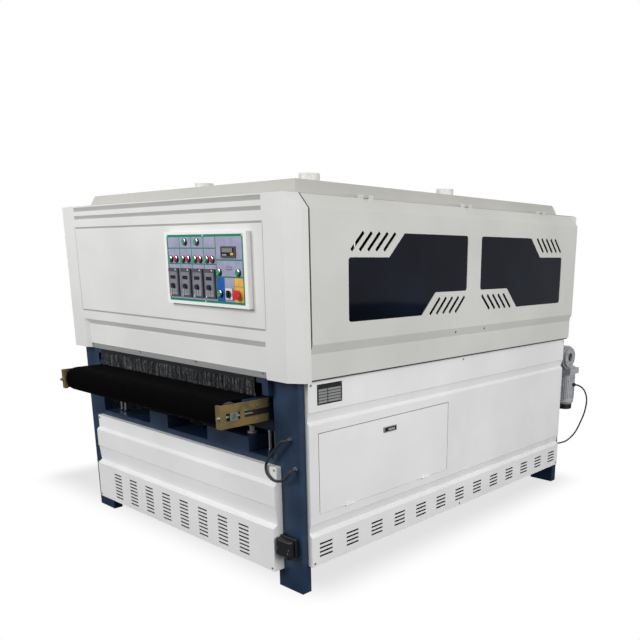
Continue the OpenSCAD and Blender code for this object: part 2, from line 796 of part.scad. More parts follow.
module hood() {
    difference() {
        union() {
            front_prism(hood_y0, hood_y1)
                polygon(concat(hood_line, [for (i = [4:-1:0]) hood_line[i] - [hood_t, 0]]));
            for (y = [hood_y0, hood_y1 - hood_t])
                front_prism(y, y + hood_t)
                    polygon(concat(hood_line, [for (i = [4:-1:0])
                        [max(hood_line[i][0] - hood_rim, rim_x), hood_line[i][1]]]));
            for (y = knuckle_ys, s = [-1, 1])
                slab(barrel_x - bulge, barrel_x + barrel_r / 2,
                     y + s * knuckle_l / 3 - knuckle_l / 6 + seat_gap,
                     y + s * knuckle_l / 3 + knuckle_l / 6 - seat_gap,
                     casing_top - barrel_r, barrel_z - barrel_r / 2 - over);
        }
        at_windows() {
            side_prism(casing_x - hood_t - over, casing_x + over) polygon(window_outline(0));
            for (i = [0:slash_count - 1]) {
                slash(-window_far + slash_start + i * window_side / slash_count,
                      window_top - slash_rise);
                slash(-window_near - slash_start - i * window_side / slash_count,
                      window_bottom + slash_rise);
            }
        }
        for (y = drain_ys)
            rod_x(drain_r, tuck_x - hood_t - over, casing_x + over, y,
                  (tuck_z + hood_fold_z) / 2);
    }
    hinge_eyes(barrel_x, barrel_z, barrel_r, barrel_r / 2, knuckle_l, knuckle_ys);
}

module panes() at_windows()
    side_prism(casing_x - hood_t - pane_t, casing_x - hood_t) polygon(window_outline(pane_lap));

module hood_right() color("#d4d5d1") hood();
module hood_left() color("#d4d5d1") mirror([1, 0, 0]) hood();
module panes_right() color("#141c2b") panes();
module panes_left() color("#141c2b") mirror([1, 0, 0]) panes();

// ---------------------------------------------------------------- sanding rollers

bearing_w = 50;
bearing_half = 45;
bearing_rise = 40;
cap_h = 12;
strip_lean = 20;
blade_t = 8;
sander_ys = [for (i = [0:sander_count - 1]) (i - (sander_count - 1) / 2) * sander_pitch];

module bearing_blocks() color("#3d4a5c") both_sides() for (y = sander_ys) difference() {
    union() {
        slab(leg_in_x + tube_wall, leg_in_x + tube_wall + bearing_w, y - bearing_half,
             y + bearing_half, bearing_rail_z, sander_z);
        rod_x(bearing_rise, leg_in_x + tube_wall, leg_in_x + tube_wall + bearing_w, y, sander_z);
    }
    rod_x(sander_shaft_r + run_gap, leg_in_x, leg_x, y, sander_z);
}

module sander(i) color("#8a6a48") translate([0, sander_ys[i - 1], sander_z])
    rotate([0, 90, 0]) {
        translate([0, 0, -work_w / 2]) {
            cylinder(r = sander_core_r, h = work_w);
            // Abrasive strips in their grooves, all leaning one way
            for (k = [0:strip_count - 1]) rotate(k * 360 / strip_count)
                translate([sander_core_r - 2 * blade_t / 2, 0, 0])
                    rotate(strip_lean) translate([0, -blade_t / 2, 0])
                        cube([sander_r - sander_core_r + blade_t / 2, blade_t, work_w]);
        }
        translate([0, 0, -leg_in_x - 2 * tube_wall - bearing_w])
            cylinder(r = sander_shaft_r, h = 2 * (leg_in_x + 2 * tube_wall + bearing_w));
        for (s = [-1, 1]) translate([0, 0, s * (work_w / 2 + cap_h / 2) - cap_h / 2])
            cylinder(r = sander_core_r / 2, h = cap_h);
    }
module sander_1() sander(1);
module sander_2() sander(2);
module sander_3() sander(3);
module sander_4() sander(4);
module sander_5() sander(5);
module sander_6() sander(6);

// ---------------------------------------------------------------- feed bed

rail_z0 = roller_z - bed_rail_h / 2;
beam_h = 40;
rail_start = 102;
rail_end = 45;
table_gap = 10;
table_t = 16;
rib_drop = 30;
rib_t = 10;
rib_ys = [-900, -400, 0, 400, 900];
post_tail = 100;
post_collar_r = 12;
roller_end = 10;
fork_reach = 55;
fork_drop = 47;
fork_lip = 22;
end_plate_t = 12;
slot_h = 33;
slot_front = 36;
slot_back = 34;
tail_slot_h = 27;
tail_slot_start = 56;
tension_x = rail_x + 1;
tension_tip = 80;
block_half = 20;
nut_r = 9;
nut_h = 7;
bolt_r = 7;
bolt_h = 4;
bolt_shank_r = 4;
bolt_ys = [-front_axis + 122, -front_axis + 182];
bolt_drops = [-32, 29];

module loop(r, x) {
    slab(-x, x, -front_axis, rear_axis, roller_z - r, roller_z + r);
    rod_x(r, -x, x, -front_axis, roller_z);
    rod_x(r, -x, x, rear_axis, roller_z);
}

module feed_belt() color("#0b0c0f") difference() {
    loop(roller_r + belt_t, belt_w / 2);
    loop(roller_r, belt_w / 2 + over);
}

module table_bed() color("#1f2f45") {
    inner_x = rail_x - bed_rail_t;
    difference() {
        union() {
            both_sides() slab(inner_x, rail_x, -front_axis + rail_start, rear_axis + rail_end,
                              rail_z0, rail_z0 + bed_rail_h);
            slab(-inner_x, inner_x, -front_axis + roller_r + table_gap,
                 rear_axis - roller_r - table_gap,
                 roller_z + roller_r - table_t, roller_z + roller_r - seat_gap);
            for (y = rib_ys)
                slab(-inner_x, inner_x, y, y + rib_t, roller_z - rib_drop,
                     roller_z + roller_r - table_t);
            for (y = rod_ys) {
                slab(-rail_x, rail_x, y - leg_d / 2, y + leg_d / 2, bed_beam_z,
                     bed_beam_z + beam_h);
                both_sides() slab(inner_x, rail_x, y - leg_d / 2, y + leg_d / 2,
                                  bed_beam_z + beam_h, rail_z0);
            }
        }
        rod_x(shaft_r + run_gap, -rail_x - over, rail_x + over, rear_axis, roller_z);
        for (y = rod_ys) both_sides() for (x = rod_xs)
            rod_z(post_r + run_gap, bed_beam_z - over, bed_beam_z + beam_h + over, x, y);
        both_sides() for (y = bolt_ys, z = bolt_drops)
            rod_x(bolt_shank_r + run_gap, inner_x + over, rail_x + over, y, roller_z + z);
    }
}

module lift_posts() color("silver") for (y = rod_ys) both_sides() for (x = rod_xs) {
    rod_z(post_r, lift_plate_z - lift_plate_t - post_tail, bed_beam_z + beam_h, x, y);
    rod_z(post_collar_r, bed_beam_z - tube_wall, bed_beam_z, x, y);
}

module feed_roller(y, r) {
    rod_x(roller_r - seat_gap, -belt_w / 2 + roller_end, belt_w / 2 - roller_end, y, roller_z);
}

module idle_roller() color("#8c8f94") {
    feed_roller(-front_axis);
    rod_x(journal_r, -rail_x - fork_t - strip_t, rail_x + fork_t + strip_t,
          -front_axis, roller_z);
}

module drive_roller() color("#8c8f94") {
    feed_roller(rear_axis);
    rod_x(shaft_r, -rail_x - fork_t, gear_x + gear_w + gear_step - tube_wall,
          rear_axis, roller_z);
}

module tension_forks() color("#9a8d48") both_sides() difference() {
    y0 = -front_axis - fork_reach;
    z0 = roller_z - fork_drop;
    union() {
        slab(rail_x, rail_x + fork_t, y0, y0 + fork_l, z0, z0 + fork_h);
        slab(rail_x - fork_lip, rail_x + fork_t, y0 - end_plate_t, y0, z0, z0 + fork_h);
    }
    slab(rail_x - over, rail_x + fork_t + over, -front_axis - slot_front,
         -front_axis + slot_back, roller_z - slot_h / 2, roller_z + slot_h / 2);
    slab(rail_x - over, rail_x + fork_t + over, -front_axis + tail_slot_start,
         y0 + fork_l + over, roller_z - tail_slot_h / 2, roller_z + tail_slot_h / 2);
    rod_y(tension_r + seat_gap, y0 - end_plate_t - over, -front_axis + tail_slot_start + over,
          tension_x, roller_z);
    for (y = bolt_ys, z = bolt_drops)
        rod_x(bolt_shank_r + run_gap, rail_x - over, rail_x + fork_t + over, y, roller_z + z);
}

module tension_screws() color("silver") both_sides() {
    y0 = -front_axis - fork_reach - end_plate_t;
    difference() {
        slab(rail_x - fork_t, rail_x + fork_t + belt_t, -front_axis - block_half,
             -front_axis + block_half, roller_z - slot_h / 2,
             roller_z + slot_h / 2 - seat_gap);
        rod_x(journal_r + run_gap, rail_x - fork_t - over, rail_x + fork_t + belt_t + over,
              -front_axis, roller_z);
    }
    rod_y(tension_r, -front_axis - tension_tip, -front_axis - block_half, tension_x, roller_z);
    rod_y(tension_r, -front_axis + block_half, bolt_ys[0] - 3 * bolt_r, tension_x, roller_z);
    translate([tension_x, y0 - nut_h, roller_z]) rotate([-90, 0, 0])
        cylinder(r = nut_r, h = nut_h, $fn = 6);
    bracket_bolts();
}

// Bolts that hold the brackets to the bed
module bracket_bolts() both_sides() for (y = bolt_ys, z = bolt_drops) {
    translate([rail_x + fork_t, y, roller_z + z]) rotate([0, 90, 0])
        cylinder(r = bolt_r, h = bolt_h, $fn = 6);
    rod_x(bolt_shank_r, rail_x - bed_rail_t + fork_t, rail_x + fork_t, y, roller_z + z);
}

gear_x = 815;
gear_w = 42;
gear_step = 18;
gear_rim = 10;
gear_recess_r = 28;
worm_r = 40;
worm_rise = 46;
worm_half = 36;
motor_x = 827;
motor_y = rear_axis + worm_offset;
flange_z = roller_z - gear_r - bulge / 3;
motor_flange_h = 38;
flange_half = motor_r + belt_t;
bell_h = 34;
cowl_h = 31;
cowl_r = 45;
gland_r = 9;
gland_l = 14;
gland_drop = 111;

module gearbox() color("#55585c") difference() {
    union() {
        rod_x(2 * shaft_r, rail_x, gear_x, rear_axis, roller_z);
        rod_x(gear_r, gear_x, gear_x + gear_w, rear_axis, roller_z);
        rod_x(gear_r - gear_rim, gear_x + gear_w, gear_x + gear_w + gear_step,
              rear_axis, roller_z);
        rod_z(worm_r, flange_z, roller_z + worm_rise, motor_x, motor_y);
        slab(motor_x - worm_half, motor_x + worm_half, rear_axis, motor_y,
             flange_z + gear_rim, roller_z + worm_rise - gear_rim);
        slab(motor_x - worm_r, motor_x + worm_r, motor_y - worm_r, motor_y + worm_r,
             flange_z, flange_z + gear_rim);
    }
    rod_x(shaft_r + seat_gap, rail_x - over, leg_x, rear_axis, roller_z);
    rod_x(gear_recess_r, gear_x + gear_w, gear_x + gear_w + gear_step + over,
          rear_axis, roller_z);
}

module feed_motor() color("#85878b") {
    body_z = flange_z - motor_flange_h - motor_h;
    slab(motor_x - flange_half, motor_x + flange_half, motor_y - flange_half,
         motor_y + flange_half, flange_z - motor_flange_h, flange_z);
    rod_z(motor_r, body_z, flange_z - motor_flange_h, motor_x, motor_y);
    translate([motor_x, motor_y, body_z - bell_h]) rotate_extrude()
        polygon([[0, 0], [cowl_r, 0], [motor_r, bell_h / 2], [motor_r, bell_h], [0, bell_h]]);
    rod_z(cowl_r, body_z - bell_h - cowl_h, body_z - bell_h, motor_x, motor_y);
    rod_x(gland_r, motor_x + motor_r - gland_l / 2, motor_x + motor_r + gland_l,
          motor_y, flange_z - gland_drop);
}

// ---------------------------------------------------------------- controls

wall = 2;
deck_x = 132;
deck_z = 1250;
plate_y = front_y - box_d;
deck_y = plate_y - deck_t;
collar = 2.5;
pair_z = 1431;
buttons = [[276, 1504], [366, 1504], [160, pair_z], [203, pair_z], [255, pair_z], [297, pair_z],
           [347, pair_z], [385, pair_z], [434, pair_z], [473, pair_z],
           [518, 1380], [648, 1380], [520, 1292]];
stop_at = [645, 1291];
stop_r = 20;
stop_stem_r = 9;
select_at = [582, 1292];
select_half = 24;
select_r = 15;
stem_r = 5;
drive_w = 74;
drive_h = 122;
drive_d = 9;
drive_z = 1331;
drive_xs = [181, 276, 366, 454];
knob_r = 11;
knob_h = 10;
knob_drop = 30;
screen_x0 = 538;
screen_x1 = 636;
screen_z0 = 1439;
screen_z1 = 1485;

module control_box() color("#f0f1ee") difference() {
    slab(box_x, box_x + box_w, plate_y, front_y, box_z, box_z + box_h);
    slab(box_x + wall, box_x + box_w - wall, plate_y - over, front_y - wall,
         box_z + wall, box_z + box_h - wall);
}

module control_face() color("#0f8f6b") difference() {
    union() {
        slab(deck_x, deck_x + deck_w, deck_y, plate_y, deck_z, deck_z + deck_h);
        // Rim of the box round the face
        difference() {
            slab(box_x, box_x + box_w, plate_y - wall, plate_y, box_z, box_z + box_h);
            slab(deck_x, deck_x + deck_w, plate_y - wall - over, plate_y + over,
                 deck_z, deck_z + deck_h);
        }
        for (p = buttons) rod_y(ring_r, deck_y - ring_h, deck_y, p[0], p[1]);
        rod_y(ring_r, deck_y - ring_h, deck_y, stop_at[0], stop_at[1]);
        slab(select_at[0] - select_half, select_at[0] + select_half, deck_y - belt_t, deck_y,
             select_at[1] - select_half, select_at[1] + select_half);
    }
    for (p = buttons)
        rod_y(button_r + button_gap, deck_y - ring_h - over, plate_y + over, p[0], p[1]);
    rod_y(stop_stem_r + button_gap, deck_y - ring_h - over, plate_y + over,
          stop_at[0], stop_at[1]);
    rod_y(stem_r + run_gap, deck_y - belt_t - over, plate_y + over, select_at[0], select_at[1]);
}

module button(i) color("#19b36b") {
    p = buttons[i - 1];
    rod_y(button_r, deck_y - ring_h - button_h, plate_y + button_h, p[0], p[1]);
    rod_y(button_r + collar, plate_y + seat_gap, plate_y + button_h, p[0], p[1]);
}
module button_1() button(1);
module button_2() button(2);
module button_3() button(3);
module button_4() button(4);
module button_5() button(5);
module button_6() button(6);
module button_7() button(7);
module button_8() button(8);
module button_9() button(9);
module button_10() button(10);
module button_11() button(11);
module button_12() button(12);
module button_13() button(13);

module stop_button() color("#d8122a") {
    tip = deck_y - ring_h - button_travel - seat_gap;
    rod_y(stop_stem_r, tip - over, plate_y + button_h, stop_at[0], stop_at[1]);
    rod_y(stop_stem_r + collar, plate_y + seat_gap, plate_y + button_h, stop_at[0], stop_at[1]);
    rod_y(stop_r, tip - 2 * button_h, tip, stop_at[0], stop_at[1]);
}

module selector() color("#202226") {
    y0 = deck_y - belt_t - seat_gap;
    rod_y(stem_r, y0 - over, plate_y + button_h, select_at[0], select_at[1]);
    rod_y(select_r, y0 - button_h, y0, select_at[0], select_at[1]);
    slab(select_at[0] - stem_r, select_at[0] + stem_r, y0 - 2 * button_h, y0 - button_h,
         select_at[1] - select_r, select_at[1] + select_r);
}

module drive_units() color("#3a3b42") {
    for (x = drive_xs) difference() {
        union() {
            slab(x - drive_w / 2, x + drive_w / 2, deck_y - drive_d, deck_y,
                 drive_z - drive_h / 2, drive_z + drive_h / 2);
            for (i = [-1:1], j = [0, 1])
                slab(x + i * drive_w / 4 - knob_r / 2, x + i * drive_w / 4 + knob_r / 2,
                     deck_y - drive_d - wall, deck_y - drive_d,
                     drive_z - drive_h / 2 + (j + 0.5) * knob_r * 1.3,
                     drive_z - drive_h / 2 + (j + 1.2) * knob_r * 1.3);
        }
        slab(x - drive_w / 3, x + drive_w / 3, deck_y - drive_d - over, deck_y - drive_d + wall,
             drive_z + drive_h / 6, drive_z + drive_h / 3);
        rod_y(stem_r + run_gap, deck_y - drive_d - over, deck_y + over, x,
              drive_z - drive_h / 2 + 1.5 * knob_drop);
    }
    difference() {
        slab(screen_x0, screen_x1, deck_y - button_h, deck_y, screen_z0, screen_z1);
        slab(screen_x0 + button_h, screen_x1 - button_h, deck_y - button_h - over,
             deck_y - button_h + wall, screen_z0 + button_h, screen_z1 - button_h);
    }
}

module knob(i) color("#1c1d20") {
    z = drive_z - drive_h / 2 + 1.5 * knob_drop;
    x = drive_xs[i - 1];
    y0 = deck_y - drive_d - seat_gap;
    rod_y(knob_r, y0 - knob_h, y0, x, z);
    rod_y(stem_r, y0 - over, deck_y - seat_gap, x, z);
}
module knob_1() knob(1);
module knob_2() knob(2);
module knob_3() knob(3);
module knob_4() knob(4);

// Junction box on the right leg, with its lid
junction_x0 = 782;
junction_x1 = 877;
junction_z0 = 172;
junction_z1 = 258;
junction_d = 48;
lid_t = 6;
junction_screws = [[junction_x0 + lid_t + lid_t, (junction_z0 + junction_z1) / 2],
                   [junction_x1 - lid_t - lid_t, (junction_z0 + junction_z1) / 2]];

module junction_box() color("#8f9194") difference() {
    union() {
        slab(junction_x0 + wall, junction_x1 - wall, leg_front_y - junction_d, leg_front_y,
             junction_z0 + wall, junction_z1 - wall);
        slab(junction_x0, junction_x1, leg_front_y - junction_d,
             leg_front_y - junction_d + lid_t, junction_z0, junction_z1);
    }
    for (p = junction_screws)
        rod_y(shank_r + run_gap, leg_front_y - junction_d - over,
              leg_front_y - junction_d + 3 * screw_h, p[0], p[1]);
}

// Screws that show: side panels, front and rear panels, strip and junction box
module screw_y(x, y, z) {
    rod_y(screw_r, y - screw_h, y, x, z);
    rod_y(shank_r, y, y + 2 * screw_h, x, z);
}

module frame_screws() color("#a9abae") {
    both_sides() for (p = side_screws) {
        rod_x(screw_r, panel_x + p[2], panel_x + p[2] + screw_h, p[0], p[1]);
        rod_x(shank_r, panel_x + p[2] - 2 * screw_h, panel_x + p[2], p[0], p[1]);
    }
    both_sides() for (p = front_screws) {
        screw_y(p[0], front_y + p[2], p[1]);
        translate([0, leg_rear_y + leg_front_y, 0]) mirror([0, 1, 0])
            screw_y(p[0], front_y + p[2], p[1]);
    }
    for (x = strip_screws) rod_y(screw_r, strip_y - screw_h, strip_y, x,
                                 casing_z + strip_h - screw_r);
    for (x = strip_screws) rod_y(shank_r, strip_y, strip_y + strip_t, x,
                                 casing_z + strip_h - screw_r);
    for (p = junction_screws) screw_y(p[0], leg_front_y - junction_d, p[1]);
}

// ---------------------------------------------------------------- hose and cable

hose_d = 12;
cable_d = 10;
cord_sides = 10;
cord_steps = 3;
hose_points = [[845, -1141.9, 697], [845, -1155, 697], [828, -1163, 690], [790, -1163, 654],
               [741, -1163, 603], [720, -1163, 562], [731, -1163, 528], [770, -1163, 510],
               [815, -1163, 516], [852, -1163, 536], [875, -1162, 564], [876, -1155, 573],
               [876, -1141.5, 573]];
cable_points = [[897.2, 1322, 617], [925, 1322, 615], [965, 1322, 590], [990, 1318, 530],
                [990, 1300, 450], [975, 1280, 380], [955, 1250, 310], [920, 1215, 258],
                [885, 1178, 240], [862, 1150, 240], [860, 1130.2, 240]];

function unit(v) = v / norm(v);

// Rounded path through the points
function path(p, m) = let (n = len(p)) concat([for (i = [0:n - 2], k = [0:m - 1])
    let (a = i == 0 ? 2 * p[0] - p[1] : p[i - 1], b = p[i], c = p[i + 1],
         d = i == n - 2 ? 2 * c - b : p[i + 2], t = k / m)
    (2 * b + (c - a) * t + (2 * a - 5 * b + 4 * c - d) * t * t
     + (3 * b - a - 3 * c + d) * t * t * t) / 2], [p[n - 1]]);

function way(q, k) = let (n = len(q)) k == 0 ? unit(q[1] - q[0])
    : k == n - 1 ? unit(q[n - 1] - q[n - 2]) : unit(q[k + 1] - q[k - 1]);

// Side directions carried along the path without twist
function sides(q, k, v) = k == len(q) ? [] : let (t = way(q, k), w = unit(v - (v * t) * t))
    concat([w], sides(q, k + 1, w));

module cord(points, d) {
    q = path(points, cord_steps);
    n = len(q);
    v = sides(q, 0, [0, 0.2, 1]);
    m = cord_sides;
    rings = [for (k = [0:n - 1], j = [0:m - 1])
        let (w = v[k], c = cross(way(q, k), w))
        q[k] + d / 2 * (cos(j * 360 / m) * w + sin(j * 360 / m) * c)];
    polyhedron(rings, concat([[for (j = [0:m - 1]) j]],
        [for (k = [0:n - 2], j = [0:m - 1]) [k * m + j, (k + 1) * m + j,
            (k + 1) * m + (j + 1) % m, k * m + (j + 1) % m]],
        [[for (j = [m - 1:-1:0]) (n - 1) * m + j]]));
}

module hose() color("#2a2b2e") cord(hose_points, hose_d);
module motor_cable() color("#1b1c1f") cord(cable_points, cable_d);

weldment();
stop_pads();
front_panel();
rear_panel();
side_panel_right();
side_panel_left();
casing_front();
casing_rear();
mouth_strips();
curtains();
roof_cover();
duct_collars();
bearing_blocks();
control_box();
control_face();
drive_units();
junction_box();
hose();
frame_screws();
table_bed();
lift_posts();
feed_belt();
idle_roller();
drive_roller();
tension_forks();
tension_screws();
gearbox();
feed_motor();
motor_cable();
hood_right();
panes_right();
hood_left();
panes_left();
electrical_door();
door_latch();
sander_1();
sander_2();
sander_3();
sander_4();
sander_5();
sander_6();
button_1();
button_2();
button_3();
button_4();
button_5();
button_6();
button_7();
button_8();
button_9();
button_10();
button_11();
button_12();
button_13();
stop_button();
selector();
knob_1();
knob_2();
knob_3();
knob_4();
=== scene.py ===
import math

import bmesh
import bpy
from mathutils import Matrix, Vector


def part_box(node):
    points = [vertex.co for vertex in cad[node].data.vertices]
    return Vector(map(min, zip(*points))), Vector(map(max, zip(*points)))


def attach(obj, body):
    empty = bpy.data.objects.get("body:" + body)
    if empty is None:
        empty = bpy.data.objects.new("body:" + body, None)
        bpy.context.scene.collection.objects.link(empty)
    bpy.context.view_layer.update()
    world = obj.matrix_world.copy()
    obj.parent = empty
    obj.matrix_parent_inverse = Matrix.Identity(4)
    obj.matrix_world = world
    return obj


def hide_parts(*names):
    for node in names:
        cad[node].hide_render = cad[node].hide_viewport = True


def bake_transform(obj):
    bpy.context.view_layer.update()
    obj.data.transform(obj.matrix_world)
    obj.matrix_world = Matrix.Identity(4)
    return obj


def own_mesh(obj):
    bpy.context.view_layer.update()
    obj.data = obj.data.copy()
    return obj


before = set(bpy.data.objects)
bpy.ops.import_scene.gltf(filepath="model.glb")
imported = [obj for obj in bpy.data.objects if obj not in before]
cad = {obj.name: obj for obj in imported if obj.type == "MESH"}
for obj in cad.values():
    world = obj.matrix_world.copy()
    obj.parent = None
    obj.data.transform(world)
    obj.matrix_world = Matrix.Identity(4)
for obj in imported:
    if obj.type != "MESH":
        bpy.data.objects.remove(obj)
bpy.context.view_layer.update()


# Tools

def linear(code):
    """An sRGB hex colour as linear light."""
    parts = [int(code[i:i + 2], 16) / 255 for i in (1, 3, 5)]
    return [c / 12.92 if c < 0.04045 else ((c + 0.055) / 1.055) ** 2.4 for c in parts] + [1.0]


def darker(code, share):
    """A hex colour with each of its parts taken down to a share."""
    return "#" + "".join("%02x" % int(int(code[i:i + 2], 16) * share) for i in (1, 3, 5))


def add(tree, kind, inputs=None, stops=None, **settings):
    """One node, with its settings, its plain or linked inputs and the stops of its ramp."""
    made = tree.nodes.new(kind)
    for key, value in settings.items():
        setattr(made, key, value)
    for key, value in (inputs or {}).items():
        if isinstance(value, bpy.types.Node):
            value = value.outputs[0]
        if isinstance(value, bpy.types.NodeSocket):
            tree.links.new(value, made.inputs[key])
        else:
            made.inputs[key].default_value = value
    if stops:
        elements = made.color_ramp.elements
        while len(elements) < len(stops):
            elements.new(0.5)
        for stop, (place, colour) in zip(elements, stops):
            stop.position = place
            stop.color = linear(colour)
    return made


def blank_material(name):
    """A new material, with its empty tree and the object's own coordinates."""
    material = bpy.data.materials.new(name)
    material.use_nodes = True
    tree = material.node_tree
    tree.nodes.clear()
    return material, tree, add(tree, "ShaderNodeTexCoord").outputs["Object"]


def end_material(tree, sockets):
    """Closes a material's tree: the shader with its sockets set or linked, and the output."""
    shader = add(tree, "ShaderNodeBsdfPrincipled", sockets)
    add(tree, "ShaderNodeOutputMaterial", {"Surface": shader})


def show(name, data):
    """A new object in the scene."""
    made = bpy.data.objects.new(name, data)
    bpy.context.scene.collection.objects.link(made)
    return made


def mesh_of(name, build, *materials):
    """A mesh made by build(bm), with its materials."""
    mesh = bpy.data.meshes.new(name)
    bm = bmesh.new()
    build(bm)
    bm.to_mesh(mesh)
    bm.free()
    for material in materials:
        mesh.materials.append(material)
    return mesh


def piece(name, build, material, body, smooth=False):
    """A mesh piece made by build(bm), with its material or materials, riding on a body."""
    materials = material if isinstance(material, list) else [material]
    made = show(name, mesh_of(name, build, *materials))
    for face in made.data.polygons:
        face.use_smooth = smooth
    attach(made, body)
    return made


def block(bm, low, high, rounding=0.0, index=0):
    """A box between two corners, its edges rounded."""
    low, high = Vector(low), Vector(high)
    place = Matrix.Translation((low + high) / 2) @ Matrix.Diagonal((*(high - low), 1.0))
    old = set(bm.faces)
    verts = bmesh.ops.create_cube(bm, size=1.0, matrix=place)["verts"]
    if rounding:
        edges = {e for v in verts for e in v.link_edges}
        bmesh.ops.bevel(bm, geom=list(edges), offset=rounding, segments=2,
                        affect="EDGES", profile=0.5)
    for face in set(bm.faces) - old:
        face.material_index = index


def prism(bm, *outlines):
    """A closed solid between two outlines that have the same number of corners."""
    one, two = ([bm.verts.new(corner) for corner in outline] for outline in outlines)
    made = [bm.faces.new(one), bm.faces.new(two[::-1])]
    for k in range(len(one)):
        after = (k + 1) % len(one)
        made.append(bm.faces.new([one[after], one[k], two[k], two[after]]))
    bmesh.ops.recalc_face_normals(bm, faces=made)


def round_angles(steps):
    """Angles that go once round."""
    return [2 * math.pi * k / steps for k in range(steps)]


def turned(bm, profile, centre, axis="Y", steps=32, index=0):
    """A profile of (radius, distance along the axis) turned about the axis through centre."""
    turn = {"X": Matrix.Rotation(math.pi / 2, 4, "Y"), "Y": Matrix.Rotation(-math.pi / 2, 4, "X"),
            "Z": Matrix.Identity(4)}[axis]
    place = Matrix.Translation(centre) @ turn
    rings = []
    for radius, along in profile:
        spots = [(0, 0, along)]
        if radius > 0:
            spots = [(radius * math.cos(a), radius * math.sin(a), along)
                     for a in round_angles(steps)]
        rings.append([bm.verts.new(place @ Vector(spot)) for spot in spots])
    made = []
    for one, two in zip(rings, rings[1:]):
        for k in range(steps):
            corners = [one[k % len(one)], one[(k + 1) % len(one)],
                       two[(k + 1) % len(two)], two[k % len(two)]]
            corners = list(dict.fromkeys(corners))
            if len(corners) > 2:
                made.append(bm.faces.new(corners))
    bmesh.ops.recalc_face_normals(bm, faces=made)
    for face in made:
        face.material_index = index


def curve_through(points, steps):
    """A smooth way in metres through points that are set in millimetres."""
    p = [Vector(q) / 1000 for q in points]
    way = []
    for i in range(len(p) - 1):
        a = 2 * p[0] - p[1] if i == 0 else p[i - 1]
        b, c = p[i], p[i + 1]
        d = 2 * c - b if i == len(p) - 2 else p[i + 2]
        for k in range(steps):
            t = k / steps
            way.append((2 * b + (c - a) * t + (2 * a - 5 * b + 4 * c - d) * t * t
                        + (3 * b - a - 3 * c + d) * t ** 3) / 2)
    return way + [p[-1]]


def tube(bm, way, radius, sides=14):
    """A round tube along a way, closed at both ends."""
    side = Vector((0, 0.2, 1))  # any direction that the way doesn't start in
    rings = []
    for k, here in enumerate(way):
        ahead = (way[min(k + 1, len(way) - 1)] - way[max(k - 1, 0)]).normalized()
        side = (side - side.dot(ahead) * ahead).normalized()
        other = ahead.cross(side)
        rings.append([bm.verts.new(here + radius * (math.cos(a) * side + math.sin(a) * other))
                      for a in round_angles(sides)])
    for one, two in zip(rings, rings[1:]):
        for j in range(sides):
            face = bm.faces.new([one[j], one[(j + 1) % sides], two[(j + 1) % sides], two[j]])
            face.smooth = True
    bm.faces.new(rings[0][::-1])
    bm.faces.new(rings[-1])
    bmesh.ops.recalc_face_normals(bm, faces=bm.faces)


def middle(name):
    """The middle of a CAD node's box at rest."""
    low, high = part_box(name)
    return (Vector(low) + Vector(high)) / 2


def across(side, near, far):
    """Two distances from the middle plane, on one side of it, the lower one first."""
    return sorted((side * near, side * far))


def dress(name, material):
    """A CAD node takes a material."""
    mesh = cad[name].data
    mesh.materials.clear()
    mesh.materials.append(material)


def grow(name, tree, body, slot, **values):
    """The result of a Geometry Nodes tree as a plain mesh that rides on a body."""
    seed = show(name + "_seed", bpy.data.meshes.new(name + "_base"))
    modifier = seed.modifiers.new("grow", "NODES")
    modifier.node_group = tree
    for item in tree.interface.items_tree:
        if item.in_out == "INPUT" and item.name in values:
            modifier[item.identifier] = values[item.name]
    graph = bpy.context.evaluated_depsgraph_get()
    mesh = bpy.data.meshes.new_from_object(seed.evaluated_get(graph))
    bpy.data.objects.remove(seed)
    made = show(name, mesh)
    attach(made, body)
    return made


def growing_tree(name, **inputs):
    """An empty Geometry Nodes tree with named inputs: the tree and its input node's outputs."""
    tree = bpy.data.node_groups.new(name, "GeometryNodeTree")
    tree.interface.new_socket(name="Geometry", in_out="INPUT", socket_type="NodeSocketGeometry")
    for key, value in inputs.items():
        kind = {int: "NodeSocketInt", float: "NodeSocketFloat"}.get(type(value),
                                                                     "NodeSocketVector")
        tree.interface.new_socket(name=key, in_out="INPUT",
                                  socket_type=kind).default_value = value
    tree.interface.new_socket(name="Geometry", in_out="OUTPUT", socket_type="NodeSocketGeometry")
    return tree, add(tree, "NodeGroupInput").outputs


def end_tree(tree, geometry, material):
    """Closes a tree: instances made real, then the material."""
    real = add(tree, "GeometryNodeRealizeInstances", {"Geometry": geometry})
    dressed = add(tree, "GeometryNodeSetMaterial", {"Geometry": real, "Material": material})
    add(tree, "NodeGroupOutput", {"Geometry": dressed})


# Camera

# Solved from the photo: turn in degrees, place in metres, lens and sensor in millimetres
yaw, pitch, roll = (math.radians(a) for a in (130.83, -14.35, 0.44))
camera_place = (3.0957, -3.0400, 1.4612)
lens = bpy.data.cameras.new("camera")
lens.sensor_width = 36
lens.lens = 40.25
lens.shift_x = -0.1211
lens.shift_y = 0.1822

forward = Vector((math.cos(pitch) * math.cos(yaw), math.cos(pitch) * math.sin(yaw),
                  math.sin(pitch)))
level = forward.cross(Vector((0, 0, 1))).normalized()
rise = level.cross(forward)
right = math.cos(roll) * level + math.sin(roll) * rise
up = math.cos(roll) * rise - math.sin(roll) * level
camera = show("camera", lens)
place = Matrix((right, up, -forward)).transposed().to_4x4()
place.translation = camera_place
camera.matrix_world = place
bpy.context.scene.camera = camera


# Materials

# A pattern's scale is 1000 over its real size in millimetres; depths of relief are in metres
white_coat = "#f1f2ef"
peel = 1000 / 2.38  # orange peel, from wave to wave


